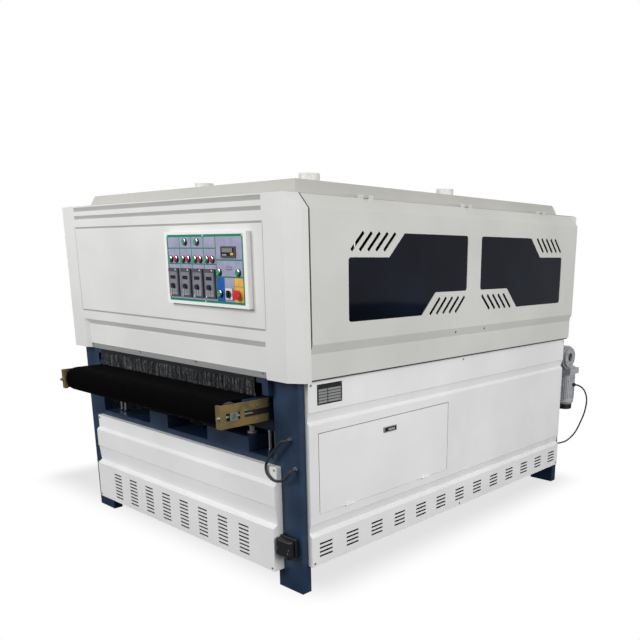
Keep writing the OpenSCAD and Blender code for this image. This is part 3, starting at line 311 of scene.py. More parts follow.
def powder_coat(name, colour, roughness=0.5):
    """Polyester powder coat on pressed sheet: an even satin colour with a fine orange peel."""
    material, tree, place = blank_material(name)
    cloudy = add(tree, "ShaderNodeTexNoise", {"Vector": place, "Scale": 1000 / 455, "Detail": 3.0})
    tone = add(tree, "ShaderNodeValToRGB", {"Fac": cloudy},
               [(0.35, darker(colour, 0.965)), (0.65, colour)])
    waves = add(tree, "ShaderNodeTexNoise", {"Vector": place, "Scale": peel, "Detail": 2.0})
    relief = add(tree, "ShaderNodeBump", {"Height": waves, "Distance": 0.00008, "Strength": 0.6})
    end_material(tree, {"Base Color": tone, "Roughness": roughness, "Specular IOR Level": 0.4,
                        "Normal": relief})
    return material


def navy_enamel():
    """Alkyd enamel brushed on welded steel: deep blue, faint runs, duller in soft patches."""
    material, tree, place = blank_material("navy machine enamel")
    cloudy = add(tree, "ShaderNodeTexNoise", {"Vector": place, "Scale": 1000 / 111, "Detail": 5.0})
    tone = add(tree, "ShaderNodeValToRGB", {"Fac": cloudy}, [(0.3, "#172a41"), (0.7, "#1f3854")])
    dull = add(tree, "ShaderNodeMapRange", {"Value": cloudy, "To Min": 0.3, "To Max": 0.55})
    runs = add(tree, "ShaderNodeTexNoise", {"Vector": place, "Scale": 1000 / 6.25, "Detail": 3.0})
    relief = add(tree, "ShaderNodeBump", {"Height": runs, "Distance": 0.00015, "Strength": 0.5})
    end_material(tree, {"Base Color": tone, "Roughness": dull, "Normal": relief})
    return material


def printed_face(centre, half_width, half_height):
    """Screen-printed green polyester film on the deck, inside the white coat of its rim."""
    material, tree, place = blank_material("green printed film in a white rim")
    off = add(tree, "ShaderNodeVectorMath", {0: place, 1: centre}, operation="SUBTRACT")
    off = add(tree, "ShaderNodeVectorMath", {0: off}, operation="ABSOLUTE")
    apart = add(tree, "ShaderNodeSeparateXYZ", {"Vector": off}).outputs
    wide = add(tree, "ShaderNodeMath", {0: apart["X"], 1: half_width}, operation="LESS_THAN")
    tall = add(tree, "ShaderNodeMath", {0: apart["Z"], 1: half_height}, operation="LESS_THAN")
    inside = add(tree, "ShaderNodeMath", {0: wide, 1: tall}, operation="MULTIPLY")
    ink = add(tree, "ShaderNodeTexNoise", {"Vector": place, "Scale": 1000 / 40, "Detail": 2.0})
    green = add(tree, "ShaderNodeValToRGB", {"Fac": ink}, [(0.3, "#037f5e"), (0.7, "#068a68")])
    mixed = add(tree, "ShaderNodeMix", {0: inside, 6: linear(white_coat), 7: green},
                data_type="RGBA")
    waves = add(tree, "ShaderNodeTexNoise", {"Vector": place, "Scale": peel, "Detail": 2.0})
    relief = add(tree, "ShaderNodeBump", {"Height": waves, "Distance": 0.00005, "Strength": 0.5})
    end_material(tree, {"Base Color": mixed.outputs[2], "Roughness": 0.45,
                        "Specular IOR Level": 0.25, "Normal": relief})
    return material


def belt_rubber():
    """Rough-top rubber belt: near black, napped, with grey dust caught in the nap."""
    material, tree, place = blank_material("rough-top conveyor rubber")
    nap = add(tree, "ShaderNodeTexNoise", {"Vector": place, "Scale": 1000 / 3.85, "Detail": 5.0,
                                           "Roughness": 0.7})
    dust = add(tree, "ShaderNodeTexNoise", {"Vector": place, "Scale": 1000 / 71.4, "Detail": 6.0,
                                            "Roughness": 0.65})
    both = add(tree, "ShaderNodeMath", {0: nap, 1: dust}, operation="MULTIPLY")
    tone = add(tree, "ShaderNodeValToRGB", {"Fac": both},
               [(0.16, "#000000"), (0.34, "#020203"), (0.56, "#0b0c0e")])
    relief = add(tree, "ShaderNodeBump", {"Height": nap, "Distance": 0.0012, "Strength": 0.7})
    end_material(tree, {"Base Color": tone, "Roughness": 0.95, "Specular IOR Level": 0.05,
                        "Normal": relief})
    return material


def brushed(name, light, dark, roughness, sizes, metallic=1.0):
    """Metal with a drawn, ground or cast skin: bright, its streaks as long as its sizes say.

    Real drawn lines are a tenth of a millimetre apart; they are drawn coarse enough to show.
    """
    material, tree, place = blank_material(name)
    along = add(tree, "ShaderNodeMapping",
                {"Vector": place, "Scale": tuple(1000 / size for size in sizes)})
    lines = add(tree, "ShaderNodeTexNoise", {"Vector": along, "Scale": 1.0, "Detail": 4.0})
    tone = add(tree, "ShaderNodeValToRGB", {"Fac": lines}, [(0.3, dark), (0.7, light)])
    dull = add(tree, "ShaderNodeMapRange",
               {"Value": lines, "To Min": roughness - 0.08, "To Max": roughness + 0.1})
    relief = add(tree, "ShaderNodeBump", {"Height": lines, "Distance": 0.00006, "Strength": 0.5})
    end_material(tree, {"Base Color": tone, "Roughness": dull, "Metallic": metallic,
                        "Normal": relief})
    return material


def zinc_yellow():
    """Yellow-passivated zinc on cut plate: olive to brass in soft clouds."""
    material, tree, place = blank_material("yellow passivated zinc")
    film = add(tree, "ShaderNodeTexNoise", {"Vector": place, "Scale": 1000 / 71.4, "Detail": 3.0,
                                            "Distortion": 0.6})
    tone = add(tree, "ShaderNodeValToRGB", {"Fac": film},
               [(0.3, "#776a45"), (0.46, "#86784f"), (0.6, "#9c814b"), (0.72, "#817354")])
    fine = add(tree, "ShaderNodeTexNoise", {"Vector": place, "Scale": 1000 / 2, "Detail": 2.0})
    relief = add(tree, "ShaderNodeBump", {"Height": fine, "Distance": 0.00008, "Strength": 0.5})
    end_material(tree, {"Base Color": tone, "Roughness": 0.4, "Metallic": 0.6, "Normal": relief})
    return material


def galvanised():
    """Hot-dip galvanised sheet: grey zinc with spangles a centimetre wide."""
    material, tree, place = blank_material("galvanised sheet")
    spangle = add(tree, "ShaderNodeTexVoronoi", {"Vector": place, "Scale": 1000 / 11.1})
    tone = add(tree, "ShaderNodeValToRGB", {"Fac": spangle.outputs["Color"]},
               [(0.1, "#cfd0cc"), (0.9, "#dfdfdb")])
    end_material(tree, {"Base Color": tone, "Roughness": 0.6, "Metallic": 0.12})
    return material


def moulded(name, colour, roughness=0.5, grain=1.11, depth=0.00006):
    """Moulded plastic or a thick coat: one colour through, and a fine grain, its size in mm.

    Spark-eroded grain is really a tenth of a millimetre; it is drawn coarse enough to show.
    """
    material, tree, place = blank_material(name)
    soft = add(tree, "ShaderNodeTexNoise", {"Vector": place, "Scale": 1000 / 33.3, "Detail": 3.0})
    tone = add(tree, "ShaderNodeValToRGB", {"Fac": soft},
               [(0.3, darker(colour, 0.9)), (0.7, colour)])
    fine = add(tree, "ShaderNodeTexNoise", {"Vector": place, "Scale": 1000 / grain, "Detail": 2.0})
    relief = add(tree, "ShaderNodeBump", {"Height": fine, "Distance": depth, "Strength": 0.5})
    end_material(tree, {"Base Color": tone, "Roughness": roughness, "Normal": relief})
    return material


def nylon_bristles():
    """Bundled nylon: black strands with grey ones among them, paler at a ragged root."""
    material, tree, place = blank_material("black and grey nylon bristles")
    thin = add(tree, "ShaderNodeMapping",
               {"Vector": place, "Scale": (1000 / 2.38, 1000 / 25, 1000 / 111)})
    streak = add(tree, "ShaderNodeTexNoise", {"Vector": thin, "Scale": 1.0, "Detail": 4.0,
                                              "Roughness": 0.65})
    tone = add(tree, "ShaderNodeValToRGB", {"Fac": streak},
               [(0.42, "#0c0d10"), (0.54, "#2f3135"), (0.64, "#85888c"), (0.76, "#d8d9da")])
    # How far along its strand a point lies, which the strands' own tree writes
    along = add(tree, "ShaderNodeAttribute", attribute_name="along").outputs["Fac"]
    spread = add(tree, "ShaderNodeMath", {0: streak, 1: 0.262}, operation="MULTIPLY")
    ragged = add(tree, "ShaderNodeMath", {0: spread, 1: along}, operation="SUBTRACT")
    root = add(tree, "ShaderNodeMapRange",
               {"Value": ragged, "From Min": 0.131, "From Max": 0.180})
    mixed = add(tree, "ShaderNodeMix", {0: root, 6: tone, 7: linear("#c9cacc")},
                data_type="RGBA")
    end_material(tree, {"Base Color": mixed.outputs[2], "Roughness": 0.55})
    return material


def tinted_pane():
    """Smoked polycarbonate: glossy, nearly black, with a little of the inside showing through."""
    material, tree, place = blank_material("smoked polycarbonate")
    haze = add(tree, "ShaderNodeTexNoise", {"Vector": place, "Scale": 1000 / 333, "Detail": 2.0})
    tone = add(tree, "ShaderNodeValToRGB", {"Fac": haze}, [(0.3, "#0b111e"), (0.7, "#182236")])
    end_material(tree, {"Base Color": tone, "Roughness": 0.05, "IOR": 1.5,
                        "Transmission Weight": 0.5, "Specular IOR Level": 0.16})
    return material


def abrasive():
    """Cloth-backed abrasive strips: brown grit, its grains drawn coarse enough to show."""
    material, tree, place = blank_material("cloth-backed abrasive")
    grains = add(tree, "ShaderNodeTexNoise", {"Vector": place, "Scale": 1000 / 1.43,
                                              "Detail": 3.0})
    tone = add(tree, "ShaderNodeValToRGB", {"Fac": grains}, [(0.35, "#4b2f1c"), (0.65, "#8f6a48")])
    relief = add(tree, "ShaderNodeBump", {"Height": grains, "Distance": 0.0004, "Strength": 0.8})
    end_material(tree, {"Base Color": tone, "Roughness": 0.8, "Normal": relief})
    return material


def lens_plastic(name, light, dark):
    """Translucent button cap: glossy, its colour deeper in soft patches."""
    material, tree, place = blank_material(name)
    deep = add(tree, "ShaderNodeTexNoise", {"Vector": place, "Scale": 1000 / 8.33, "Detail": 1.0})
    tone = add(tree, "ShaderNodeValToRGB", {"Fac": deep}, [(0.35, dark), (0.65, light)])
    end_material(tree, {"Base Color": tone, "Roughness": 0.22, "Coat Weight": 0.6,
                        "Coat Roughness": 0.05})
    return material


casing_coat = powder_coat("light grey powder coat", "#e2e2e0")
hood_coat = powder_coat("grey powder coat on the hoods", "#d4d4d0")
# The roof's coat is a darker copy of the grey coat: painted shade on the roof's top
shaded_roof_coat = powder_coat("grey powder coat on the roof, darkened as painted shade", "#bebdb8")
panel_coat = powder_coat("grey powder coat on the lower panels", "#eff0ef")
box_coat = powder_coat("white powder coat", white_coat, 0.42)
door_coat = powder_coat("grey powder coat on the door", "#f2f3f2", 0.46)
# A darker copy of the casing's grey coat: painted shade in the flutes and at the folded edges
flute_shade_coat = powder_coat("grey powder coat darkened as painted shade in the flutes", "#b4b4b1")
navy = navy_enamel()
belt = belt_rubber()
zinc = zinc_yellow()
zinc_sheet = galvanised()
bristle = nylon_bristles()
pane = tinted_pane()
grit = abrasive()
# Drawn aluminium: lines run along the strip
strip_metal = brushed("drawn aluminium", "#acadad", "#969797", 0.42, (167, 1.11, 1.11), 0.35)
turned_steel = brushed("turned steel", "#a7aaae", "#7c7f84", 0.32, (1.11, 83.3, 83.3))
chrome = brushed("hard chrome", "#e4e6e9", "#d2d5d9", 0.12, (25, 25, 25))
screw_steel = brushed("zinc plated screw steel", "#c9cbcd", "#a2a5a8", 0.34, (5, 5, 5))
motor_alloy = brushed("cast motor alloy", "#c6c8cb", "#a9acb0", 0.46, (14.3, 14.3, 14.3), 0.15)
gear_enamel = moulded("grey gearbox enamel", "#b0b3b6", 0.45, 5, 0.0002)
bearing_iron = moulded("painted cast iron", "#39434f", 0.6, 6.25, 0.0005)
cell_film = moulded("lavender printed film", "#a7a6c4", 0.42)
blue_film = moulded("blue printed film", "#0d58b8", 0.42)
amber_film = moulded("amber printed film", "#f4bd4e", 0.42)
drive_plastic = moulded("charcoal ABS", "#4a4b53", 0.5)
drive_face = moulded("grey keypad film", "#83848d", 0.45)
black_plastic = moulded("black nylon", "#16171a", 0.45)
black_glass = moulded("black display glass", "#0a0b0e", 0.12)
screen_glass = moulded("grey liquid crystal display", "#8b8d84", 0.25)
white_plastic = moulded("white acetal", "#ecece8", 0.4)
key_plastic = moulded("grey key rubber", "#9fa3a4", 0.6)
grey_plastic = moulded("grey ABS housing", "#a6a8aa", 0.5)
hose_rubber = moulded("black braided rubber hose", "#2c2d31", 0.55, 2, 0.0004)
cable_rubber = moulded("black rubber cable", "#121315", 0.6)
# Black felt behind the louvres: painted shade inside the machine
shade_felt = moulded("black felt as painted shade", "#101113", 0.9, 3.33, 0.0005)
edge_rubber = moulded("black rubber edge seal", "#17181a", 0.7)
plate_print = moulded("black printed aluminium", "#202124", 0.4)
amber_ring = moulded("yellow stop collar", "#f2a81d", 0.4)
green_cap = lens_plastic("green button cap", "#2fae74", "#108a55")
red_cap = lens_plastic("red button cap", "#d3163a", "#a50c26")
stop_cap = lens_plastic("red stop cap", "#e0203a", "#c3122a")
control_film = printed_face((0.408, 0.0, 1.392), 0.2761, 0.1421)

for names, material in (
        (("casing_front", "casing_rear"), casing_coat), (("roof_cover",), shaded_roof_coat),
        (("hood_right", "hood_left"), hood_coat),
        (("side_panel_right", "side_panel_left", "front_panel", "rear_panel"), panel_coat),
        (("electrical_door",), door_coat), (("control_box",), box_coat),
        (("weldment", "table_bed"), navy), (("feed_belt",), belt),
        (("tension_forks",), zinc), (("duct_collars",), zinc_sheet),
        (("panes_right", "panes_left"), pane),
        (("mouth_strips",), strip_metal), (("idle_roller", "drive_roller"), turned_steel),
        (("lift_posts",), chrome), (("frame_screws", "tension_screws"), screw_steel),
        (("feed_motor",), motor_alloy), (("gearbox",), gear_enamel),
        (("bearing_blocks",), bearing_iron), (("control_face",), control_film),
        (("drive_units",), drive_plastic), (("junction_box",), black_plastic),
        (("stop_pads",), white_plastic), (("stop_button",), stop_cap),
        (("door_latch", "selector", "knob_1", "knob_2", "knob_3", "knob_4"), black_plastic),
        (["sander_%d" % i for i in range(1, 7)], grit),
        (["button_%d" % i for i in (4, 6, 8, 10)], red_cap),
        (["button_%d" % i for i in (1, 2, 3, 5, 7, 9, 11, 12, 13)], green_cap)):
    for name in names:
        dress(name, material)


# Hose and motor cable

way_steps, hose_radius, cable_radius = 3, 0.006, 0.005
hose_way = curve_through([
    (845, -1141.9, 697), (845, -1155, 697), (828, -1163, 690), (790, -1163, 654),
    (741, -1163, 603), (720, -1163, 562), (731, -1163, 528), (770, -1163, 510),
    (815, -1163, 516), (852, -1163, 536), (875, -1162, 564), (876, -1155, 573),
    (876, -1141.5, 573)], way_steps)
cable_way = curve_through([
    (897.2, 1322, 617), (925, 1322, 615), (965, 1322, 590), (990, 1318, 530),
    (990, 1300, 450), (975, 1280, 380), (955, 1250, 310), (920, 1215, 258),
    (885, 1178, 240), (862, 1150, 240), (860, 1130.2, 240)], way_steps)

hose = piece("spindle_hose", lambda bm: tube(bm, hose_way, hose_radius), hose_rubber, "frame",
             True)
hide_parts("hose")

cable = show("motor_lead", mesh_of("motor_lead", lambda bm: tube(bm, cable_way, cable_radius),
                                   cable_rubber))
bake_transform(cable)
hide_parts("motor_cable")


# Bristle curtains

row_front, row_rear, row_half, root_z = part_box("curtains")[0][1], 1.163, 0.658, 0.929

# Real strands are 0.3 mm thick; these stand for bundles of them, thick enough to show
tree, given = growing_tree("bristle rows", Strands=2600, Width=2 * row_half, Length=0.061,
                           Thick=0.0008, Lean=0.008, Start=(-row_half, row_front, root_z), Seed=1)
spacing = add(tree, "ShaderNodeMath", {0: given["Width"], 1: given["Strands"]},
              operation="DIVIDE")
step = add(tree, "ShaderNodeCombineXYZ", {"X": spacing})
row = add(tree, "GeometryNodeMeshLine",
          {"Count": given["Strands"], "Start Location": given["Start"], "Offset": step},
          mode="OFFSET", count_mode="TOTAL")
jitter = add(tree, "FunctionNodeRandomValue", {0: (-0.0012, -0.0030, -0.0065),
                                               1: (0.0012, 0.0014, 0.0030),
                                               "Seed": given["Seed"]}, data_type="FLOAT_VECTOR")
moved = add(tree, "GeometryNodeSetPosition", {"Geometry": row, "Offset": jitter})
down = add(tree, "ShaderNodeMath", {0: given["Length"], 1: -1.0}, operation="MULTIPLY")
half = add(tree, "ShaderNodeMath", {0: down, 1: 0.6}, operation="MULTIPLY")
tip = add(tree, "ShaderNodeCombineXYZ", {"X": given["Lean"], "Z": down})
mid = add(tree, "ShaderNodeCombineXYZ", {"Z": half})
bend = add(tree, "GeometryNodeCurveQuadraticBezier",
           {"Resolution": 3, "Start": (0, 0, 0), "Middle": mid, "End": tip})
ring = add(tree, "GeometryNodeCurvePrimitiveCircle", {"Resolution": 3, "Radius": given["Thick"]})
along = add(tree, "GeometryNodeSplineParameter").outputs["Factor"]
marked = add(tree, "GeometryNodeStoreNamedAttribute",
             {"Geometry": bend, "Name": "along", "Value": along},
             data_type="FLOAT", domain="POINT")
strand = add(tree, "GeometryNodeCurveToMesh", {"Curve": marked, "Profile Curve": ring,
                                               "Fill Caps": True})
# The strands lean in waves, as they dry after being pushed aside by the boards
at = add(tree, "GeometryNodeInputPosition")
wave = add(tree, "ShaderNodeTexNoise", {"Vector": at, "Scale": 26.0, "Detail": 3.0})
lean = add(tree, "ShaderNodeMapRange", {"Value": wave, "From Min": 0.3, "From Max": 0.7,
                                        "To Min": -0.16, "To Max": 0.62})
loose = add(tree, "FunctionNodeRandomValue", {0: (-0.05, -0.07, 0.0), 1: (0.05, 0.07, 0.0),
                                              "Seed": 7}, data_type="FLOAT_VECTOR")
turn = add(tree, "ShaderNodeCombineXYZ", {"Y": lean})
turn = add(tree, "ShaderNodeVectorMath", {0: turn, 1: loose}, operation="ADD")
size = add(tree, "FunctionNodeRandomValue", {0: (0.8, 0.8, 0.93), 1: (1.5, 1.5, 1.0),
                                             "Seed": 9}, data_type="FLOAT_VECTOR")
set_out = add(tree, "GeometryNodeInstanceOnPoints",
              {"Points": moved, "Instance": strand, "Rotation": turn, "Scale": size})
end_tree(tree, set_out, bristle)

front_rows = grow("infeed_bristles", tree, "frame", "bristles",
                  Start=(-row_half, row_front, root_z), Seed=1)
rear_rows = grow("outfeed_bristles", tree, "frame", "bristles",
                 Start=(-row_half, row_rear, root_z), Seed=2)
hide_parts("curtains")
for rows in (front_rows, rear_rows):
    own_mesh(rows)


def holders(bm):
    """The bars that hold the bristles, with a black felt edge behind their roots: a dark sheet of
    painted shade.
    """
    bar_half, _, bar_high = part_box("curtains")[1]
    bar_low, shade_sheet_low, shade_sheet_high = 0.937, 0.922, 0.940
    for y in (-1.155, 1.163):
        block(bm, (-bar_half, y - 0.003, bar_low), (bar_half, y + 0.003, bar_high), 0.001)
        block(bm, (-row_half, y - 0.0002, shade_sheet_low), (row_half, y + 0.0018, shade_sheet_high))


piece("bristle_holders", holders, black_plastic, "frame")


# Window corners

def window_corners(bm, side):
    """The rounded outer corners of the windows, which fill the sharp ones of the cut-outs."""
    radius, arc_steps = 0.014, 6
    outer, inner = (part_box(name)[1][0] for name in ("hood_right", "panes_right"))
    middle_y, to_far, to_near = middle("panes_right").y, 0.897, 0.059
    for half in (1, -1):
        far, near = middle_y + half * to_far, middle_y + half * to_near
        for y, z, dy, dz in ((far, 1.181, -half, 1), (far, 1.445, -half, -1),
                             (near, 1.548, half, -1), (near, 1.284, half, 1)):
            arc = [math.pi / 2 * k / arc_steps for k in range(arc_steps + 1)]
            rim = [(y, z)] + [(y + dy * radius * (1 - math.sin(a)),
                               z + dz * radius * (1 - math.cos(a))) for a in arc]
            prism(bm, *([(side * x, *corner) for corner in rim] for x in (outer, inner)))


piece("window_corners_right", lambda bm: window_corners(bm, 1), hood_coat, "hood_right")
piece("window_corners_left", lambda bm: window_corners(bm, -1), hood_coat, "hood_left")


# Control panel

# Where things stand out to: the film, its printed cells, the button sleeves, the drive units
face_y, cell_y, sleeve_y, drive_y = -1.205, -1.2054, -1.2110, -1.2140
drive_xs = [middle("knob_%d" % number).x for number in range(1, 5)]
button_places = [middle("button_%d" % number) for number in range(1, 14)]


def cells(bm, places):
    """Printed cells of the control film, slightly proud so that they read as print."""
    for left, low, right_, high in places:
        block(bm, (left, cell_y, low), (right_, face_y, high))


columns, line = (0.140, 0.231, 0.321, 0.411, 0.497), 0.0025
lavender = [(left + line, low, right_ - line, high) for left, right_ in zip(columns, columns[1:])
            for low, high in ((1.4795, 1.5235), (1.4135, 1.4745), (1.2600, 1.4085))]
lavender += [(0.500, 1.4330, 0.676, 1.5240), (0.500, 1.3640, 0.676, 1.4270),
             (0.5505, 1.2600, 0.6155, 1.3580)]
amber = [(0.6175, 1.3250, 0.676, 1.3580), (0.6175, 1.2600, 0.676, 1.3230)]
piece("film_cells", lambda bm: cells(bm, lavender), cell_film, "frame")
piece("film_blue_cell", lambda bm: cells(bm, [(0.500, 1.2600, 0.5485, 1.3580)]), blue_film,
      "frame")
piece("film_amber_cells", lambda bm: cells(bm, amber), amber_film, "frame")


def round_buttons(bm, profile, steps):
    """One turned ring round every push button."""
    for place in button_places:
        turned(bm, profile, (place.x, sleeve_y, place.z), steps=steps)


# Bezels over the sleeves have a chamfered front
bezel = [(0.0106, 0.0), (0.0106, -0.0030), (0.0124, -0.0040), (0.0146, -0.0024)]
sleeve = [(0.0146, -0.0024), (0.0153, -0.0012), (0.0153, 0.0059), (0.0142, 0.0059)]
piece("button_bezels", lambda bm: round_buttons(bm, bezel, 28), chrome, "frame", True)
piece("button_sleeves", lambda bm: round_buttons(bm, sleeve, 24), black_plastic, "frame",
      True)


def stop_collar(bm):
    """The yellow collar under the stop button."""
    stop = middle("stop_button")
    turned(bm, [(0.0150, 0.0), (0.0222, 0.0), (0.0222, -0.0030), (0.0205, -0.0042),
                (0.0150, -0.0042)], (stop.x, face_y, stop.z))


def selector_plate(bm):
    """The square white scale under the selector."""
    block(bm, (0.5585, -1.2100, 1.2690), (0.6055, -1.2092, 1.3160), 0.0002)


def keypads(bm):
    """Keypad film of each drive unit, between its dark end bars."""
    for x in drive_xs:
        block(bm, (x - 0.032, drive_y - 0.0006, 1.2755), (x + 0.029, drive_y, 1.3755), 0.0002)


def displays(bm):
    """The small dark display of each drive unit."""
    for x in drive_xs:
        block(bm, (x - 0.022, drive_y - 0.0014, 1.3445), (x + 0.018, drive_y, 1.3595), 0.0004)


def screw_dots(bm):
    """Pan-head screws at the corners of the drive units and on the film's rim."""
    spots = [(x + dx, drive_y, z) for x in drive_xs
             for dx, z in ((0.020, 1.3845), (-0.026, 1.2745))]
    spots += [(x, face_y, z) for x, z in ((0.408, 1.5285), (0.408, 1.2545), (0.1365, 1.5285),
                                          (0.6795, 1.5285))]
    for spot in spots:
        turned(bm, [(0.0, -0.0026), (0.0028, -0.0022), (0.0044, -0.0006), (0.0044, 0.0)], spot,
               steps=14)


piece("stop_collar", stop_collar, amber_ring, "frame", True)
piece("selector_scale", selector_plate, white_plastic, "frame")
piece("drive_keypads", keypads, drive_face, "frame")
piece("drive_displays", displays, black_glass, "frame")
piece("panel_screws", screw_dots, white_plastic, "frame", True)

# Keys of the drive units: rows of small rubber keys set out on a grid
key_y, key_z = -1.2151, 1.28935
tree, given = growing_tree("key grid", Origin=(0.0, 0.0, 0.0), Key=(0.0116, 0.0030, 0.0104),
                           PitchX=0.0185, PitchZ=0.0143, Columns=3, Rows=2)
spans = []
for count, pace in (("Columns", "PitchX"), ("Rows", "PitchZ")):
    gaps = add(tree, "ShaderNodeMath", {0: given[count], 1: 1.0}, operation="SUBTRACT")
    spans.append(add(tree, "ShaderNodeMath", {0: gaps, 1: given[pace]}, operation="MULTIPLY"))
grid = add(tree, "GeometryNodeMeshGrid", {"Vertices X": given["Columns"], "Size X": spans[0],
                                          "Vertices Y": given["Rows"], "Size Y": spans[1]})
upright = add(tree, "GeometryNodeTransform", {"Geometry": grid, "Translation": given["Origin"],
                                              "Rotation": (math.pi / 2, 0, 0)})
key = add(tree, "GeometryNodeMeshCube", {"Size": given["Key"]})
keys = add(tree, "GeometryNodeInstanceOnPoints", {"Points": upright, "Instance": key})
end_tree(tree, keys, key_plastic)
for number, x in enumerate(drive_xs, 1):
    grow("drive_keys_%d" % number, tree, "frame", "drive_plastic", Origin=(x, key_y, key_z))


def tag_plate(bm):
    """The blank tag holder between the two buttons under the display."""
    block(bm, (0.5660, -1.2062, 1.3905), (0.6060, face_y, 1.4035), 0.0003)
    block(bm, (0.5680, -1.2068, 1.3925), (0.6040, -1.2060, 1.4015), 0.0002, 1)


def display_unit(bm):
    """The unit at the upper right: its glass, with the screen, a grey key and an amber one."""
    block(bm, (0.5435, -1.2105, 1.4445), (0.6305, -1.2093, 1.4795), 0.0003)
    for index, (left, low, right_, high) in enumerate((
            (0.5480, 1.4610, 0.6180, 1.4775), (0.5490, 1.4475, 0.5790, 1.4535),
            (0.6050, 1.4490, 0.6250, 1.4590)), 1):
        block(bm, (left, -1.2112, low), (right_, -1.2104, high), 0.0002, index)


piece("tag_holder", tag_plate, [drive_plastic, cell_film], "frame")
piece("display_unit", display_unit, [black_glass, screen_glass, key_plastic, amber_film], "frame")


# Flutes and folded edges

casing_front, casing_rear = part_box("casing_front")[0][1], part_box("casing_rear")[1][1]
leg_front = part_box("junction_box")[1][1]


def flutes(bm):
    """Sloping floors of the pressed flutes: each runs in from its upper edge to its lower one."""
    half, depth = 0.774, 0.0038
    for low, high in ((1.661, 1.681), (1.622, 1.639), (1.573, 1.583), (1.150, 1.159)):
        for face, deep in ((casing_front, casing_front + depth),
                           (casing_rear, casing_rear - depth)):
            corners = ((face, high), (deep, high), (deep, low))
            prism(bm, *([(x, *corner) for corner in corners] for x in (-half, half)))


def casing_edges(bm):
    """Narrow folded edges at both ends of the casing's middle panel."""
    front, back = casing_front - 0.0007, casing_front + 0.0008
    wide, low, high = 0.003, 1.152, 1.583
    for x in (-0.781, 0.778):
        block(bm, (x, front, low), (x + wide, back, high), 0.0005)


def plate_lips(bm):
    """The down-turned lips of the lift plates, which close the slot over the lower panels."""
    half, thick, lip_low, lip_high = 0.744, 0.006, 0.530, 0.580
    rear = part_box("rear_panel")[0][1]
    for front, back in ((leg_front, leg_front + thick), (rear - thick, rear)):
        block(bm, (-half, front, lip_low), (half, back, lip_high), 0.001)


# Flutes and folded edges take the darker coat: painted shade in the grooves and creases
piece("casing_flutes", flutes, flute_shade_coat, "frame")
piece("casing_edges", casing_edges, flute_shade_coat, "frame")
piece("plate_lips", plate_lips, navy, "frame")


# Supply box, hose ends

def supply_box(bm):
    """Moulded box with a rounded cover, its two cover screws and the gland under it."""
    block(bm, (0.7805, -1.1460, 0.1705), (0.8785, leg_front - 0.0001, 0.2595), 0.004)
    block(bm, (0.7835, -1.1780, 0.1740), (0.8755, -1.1450, 0.2560), 0.010)
    turned(bm, [(0.0110, 0.0), (0.0110, -0.0140), (0.0080, -0.0180), (0.0, -0.0180)],
           (0.8290, -1.1460, 0.1715), "Z", 16)
    for x, z in ((0.7925, 0.2080), (0.8640, 0.1990)):
        turned(bm, [(0.0, -0.0020), (0.0028, -0.0014), (0.0036, 0.0)], (x, -1.1778, z),
               steps=12, index=1)


def ferrules(bm):
    """Metal ends that screw the hose to the leg."""
    for x, z in ((0.845, 0.697), (0.876, 0.573)):
        turned(bm, [(0.0, -0.0180), (0.0080, -0.0180), (0.0080, -0.0095), (0.0110, -0.0085),
                    (0.0110, 0.0005), (0.0, 0.0005)], (x, leg_front, z), steps=12)


box = piece("supply_box", supply_box, [black_plastic, screw_steel], "frame")
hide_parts("junction_box")
piece("hose_ferrules", ferrules, screw_steel, "frame")


# Rating plate

plate_x, rivet_sides = 0.924, 10


def blank_plate(bm):
    """The blank plate on the right side panel."""
    block(bm, (plate_x, -1.042, 0.842), (plate_x + 0.0012, -0.896, 0.930), 0.0004)


def plate_fields(bm):
    """The blank metal fields of the plate, in two columns."""
    first, pitch_z, high = 0.849, 0.0126, 0.0092
    for row in range(5):
        low = first + pitch_z * row
        for y, width in ((-1.034, 0.050), (-0.979, 0.075)):
            block(bm, (plate_x + 0.0010, y, low), (plate_x + 0.0015, y + width, low + high))


def plate_rivets(bm):
    """A rivet in each corner of the plate."""
    for y in (-1.036, -0.902):
        for z in (0.848, 0.924):
            turned(bm, [(0.0, 0.0022), (0.0016, 0.0018), (0.0024, 0.0)], (plate_x + 0.001, y, z),
                   "X", rivet_sides)


piece("rating_plate", blank_plate, plate_print, "frame")
piece("plate_fields", plate_fields, strip_metal, "frame")
piece("plate_rivets", plate_rivets, screw_steel, "frame", True)


# Gearmotor

motor_x, motor_y, motor_r = 0.827, middle("feed_motor").y, 0.056
gear_y, gear_z, gear_face = middle("drive_roller").y, 0.804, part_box("gearbox")[1][0]


def motor_fins(bm):
    """Cooling fins along the gearmotor's body."""
    fins, proud, sunk, half, low, high = 30, 0.0030, 0.002, 0.0011, 0.521, 0.685
    for k in range(fins):
        angle = 2 * math.pi * (k + 0.5) / fins
        out, side = (math.cos(angle), math.sin(angle)), (-math.sin(angle), math.cos(angle))
        outline = [(motor_x + out[0] * r + side[0] * w, motor_y + out[1] * r + side[1] * w)
                   for r, w in ((motor_r - sunk, -half), (motor_r + proud, -half),
                                (motor_r + proud, half), (motor_r - sunk, half))]
        prism(bm, *([(*corner, z) for corner in outline] for z in (low, high)))


def motor_fittings(bm):
    """Fan cowl, cable gland and the seal in the gearbox's bore."""
    turned(bm, [(0.0, 0.0), (0.0435, 0.0), (0.0470, 0.0030), (0.0470, 0.0335), (0.0, 0.0335)],
           (motor_x, motor_y, 0.4495), "Z", 40)
    turned(bm, [(0.0, 0.0), (0.0125, 0.0), (0.0125, 0.0100), (0.0098, 0.0120),
                (0.0098, 0.0160), (0.0065, 0.0180), (0.0, 0.0180)],
           (motor_x + 0.0545, motor_y, 0.617), "X", 20)
    turned(bm, [(0.0, 0.0), (0.0278, 0.0), (0.0278, 0.0060), (0.0, 0.0060)],
           (gear_face - 0.0175, gear_y, gear_z), "X", 32)


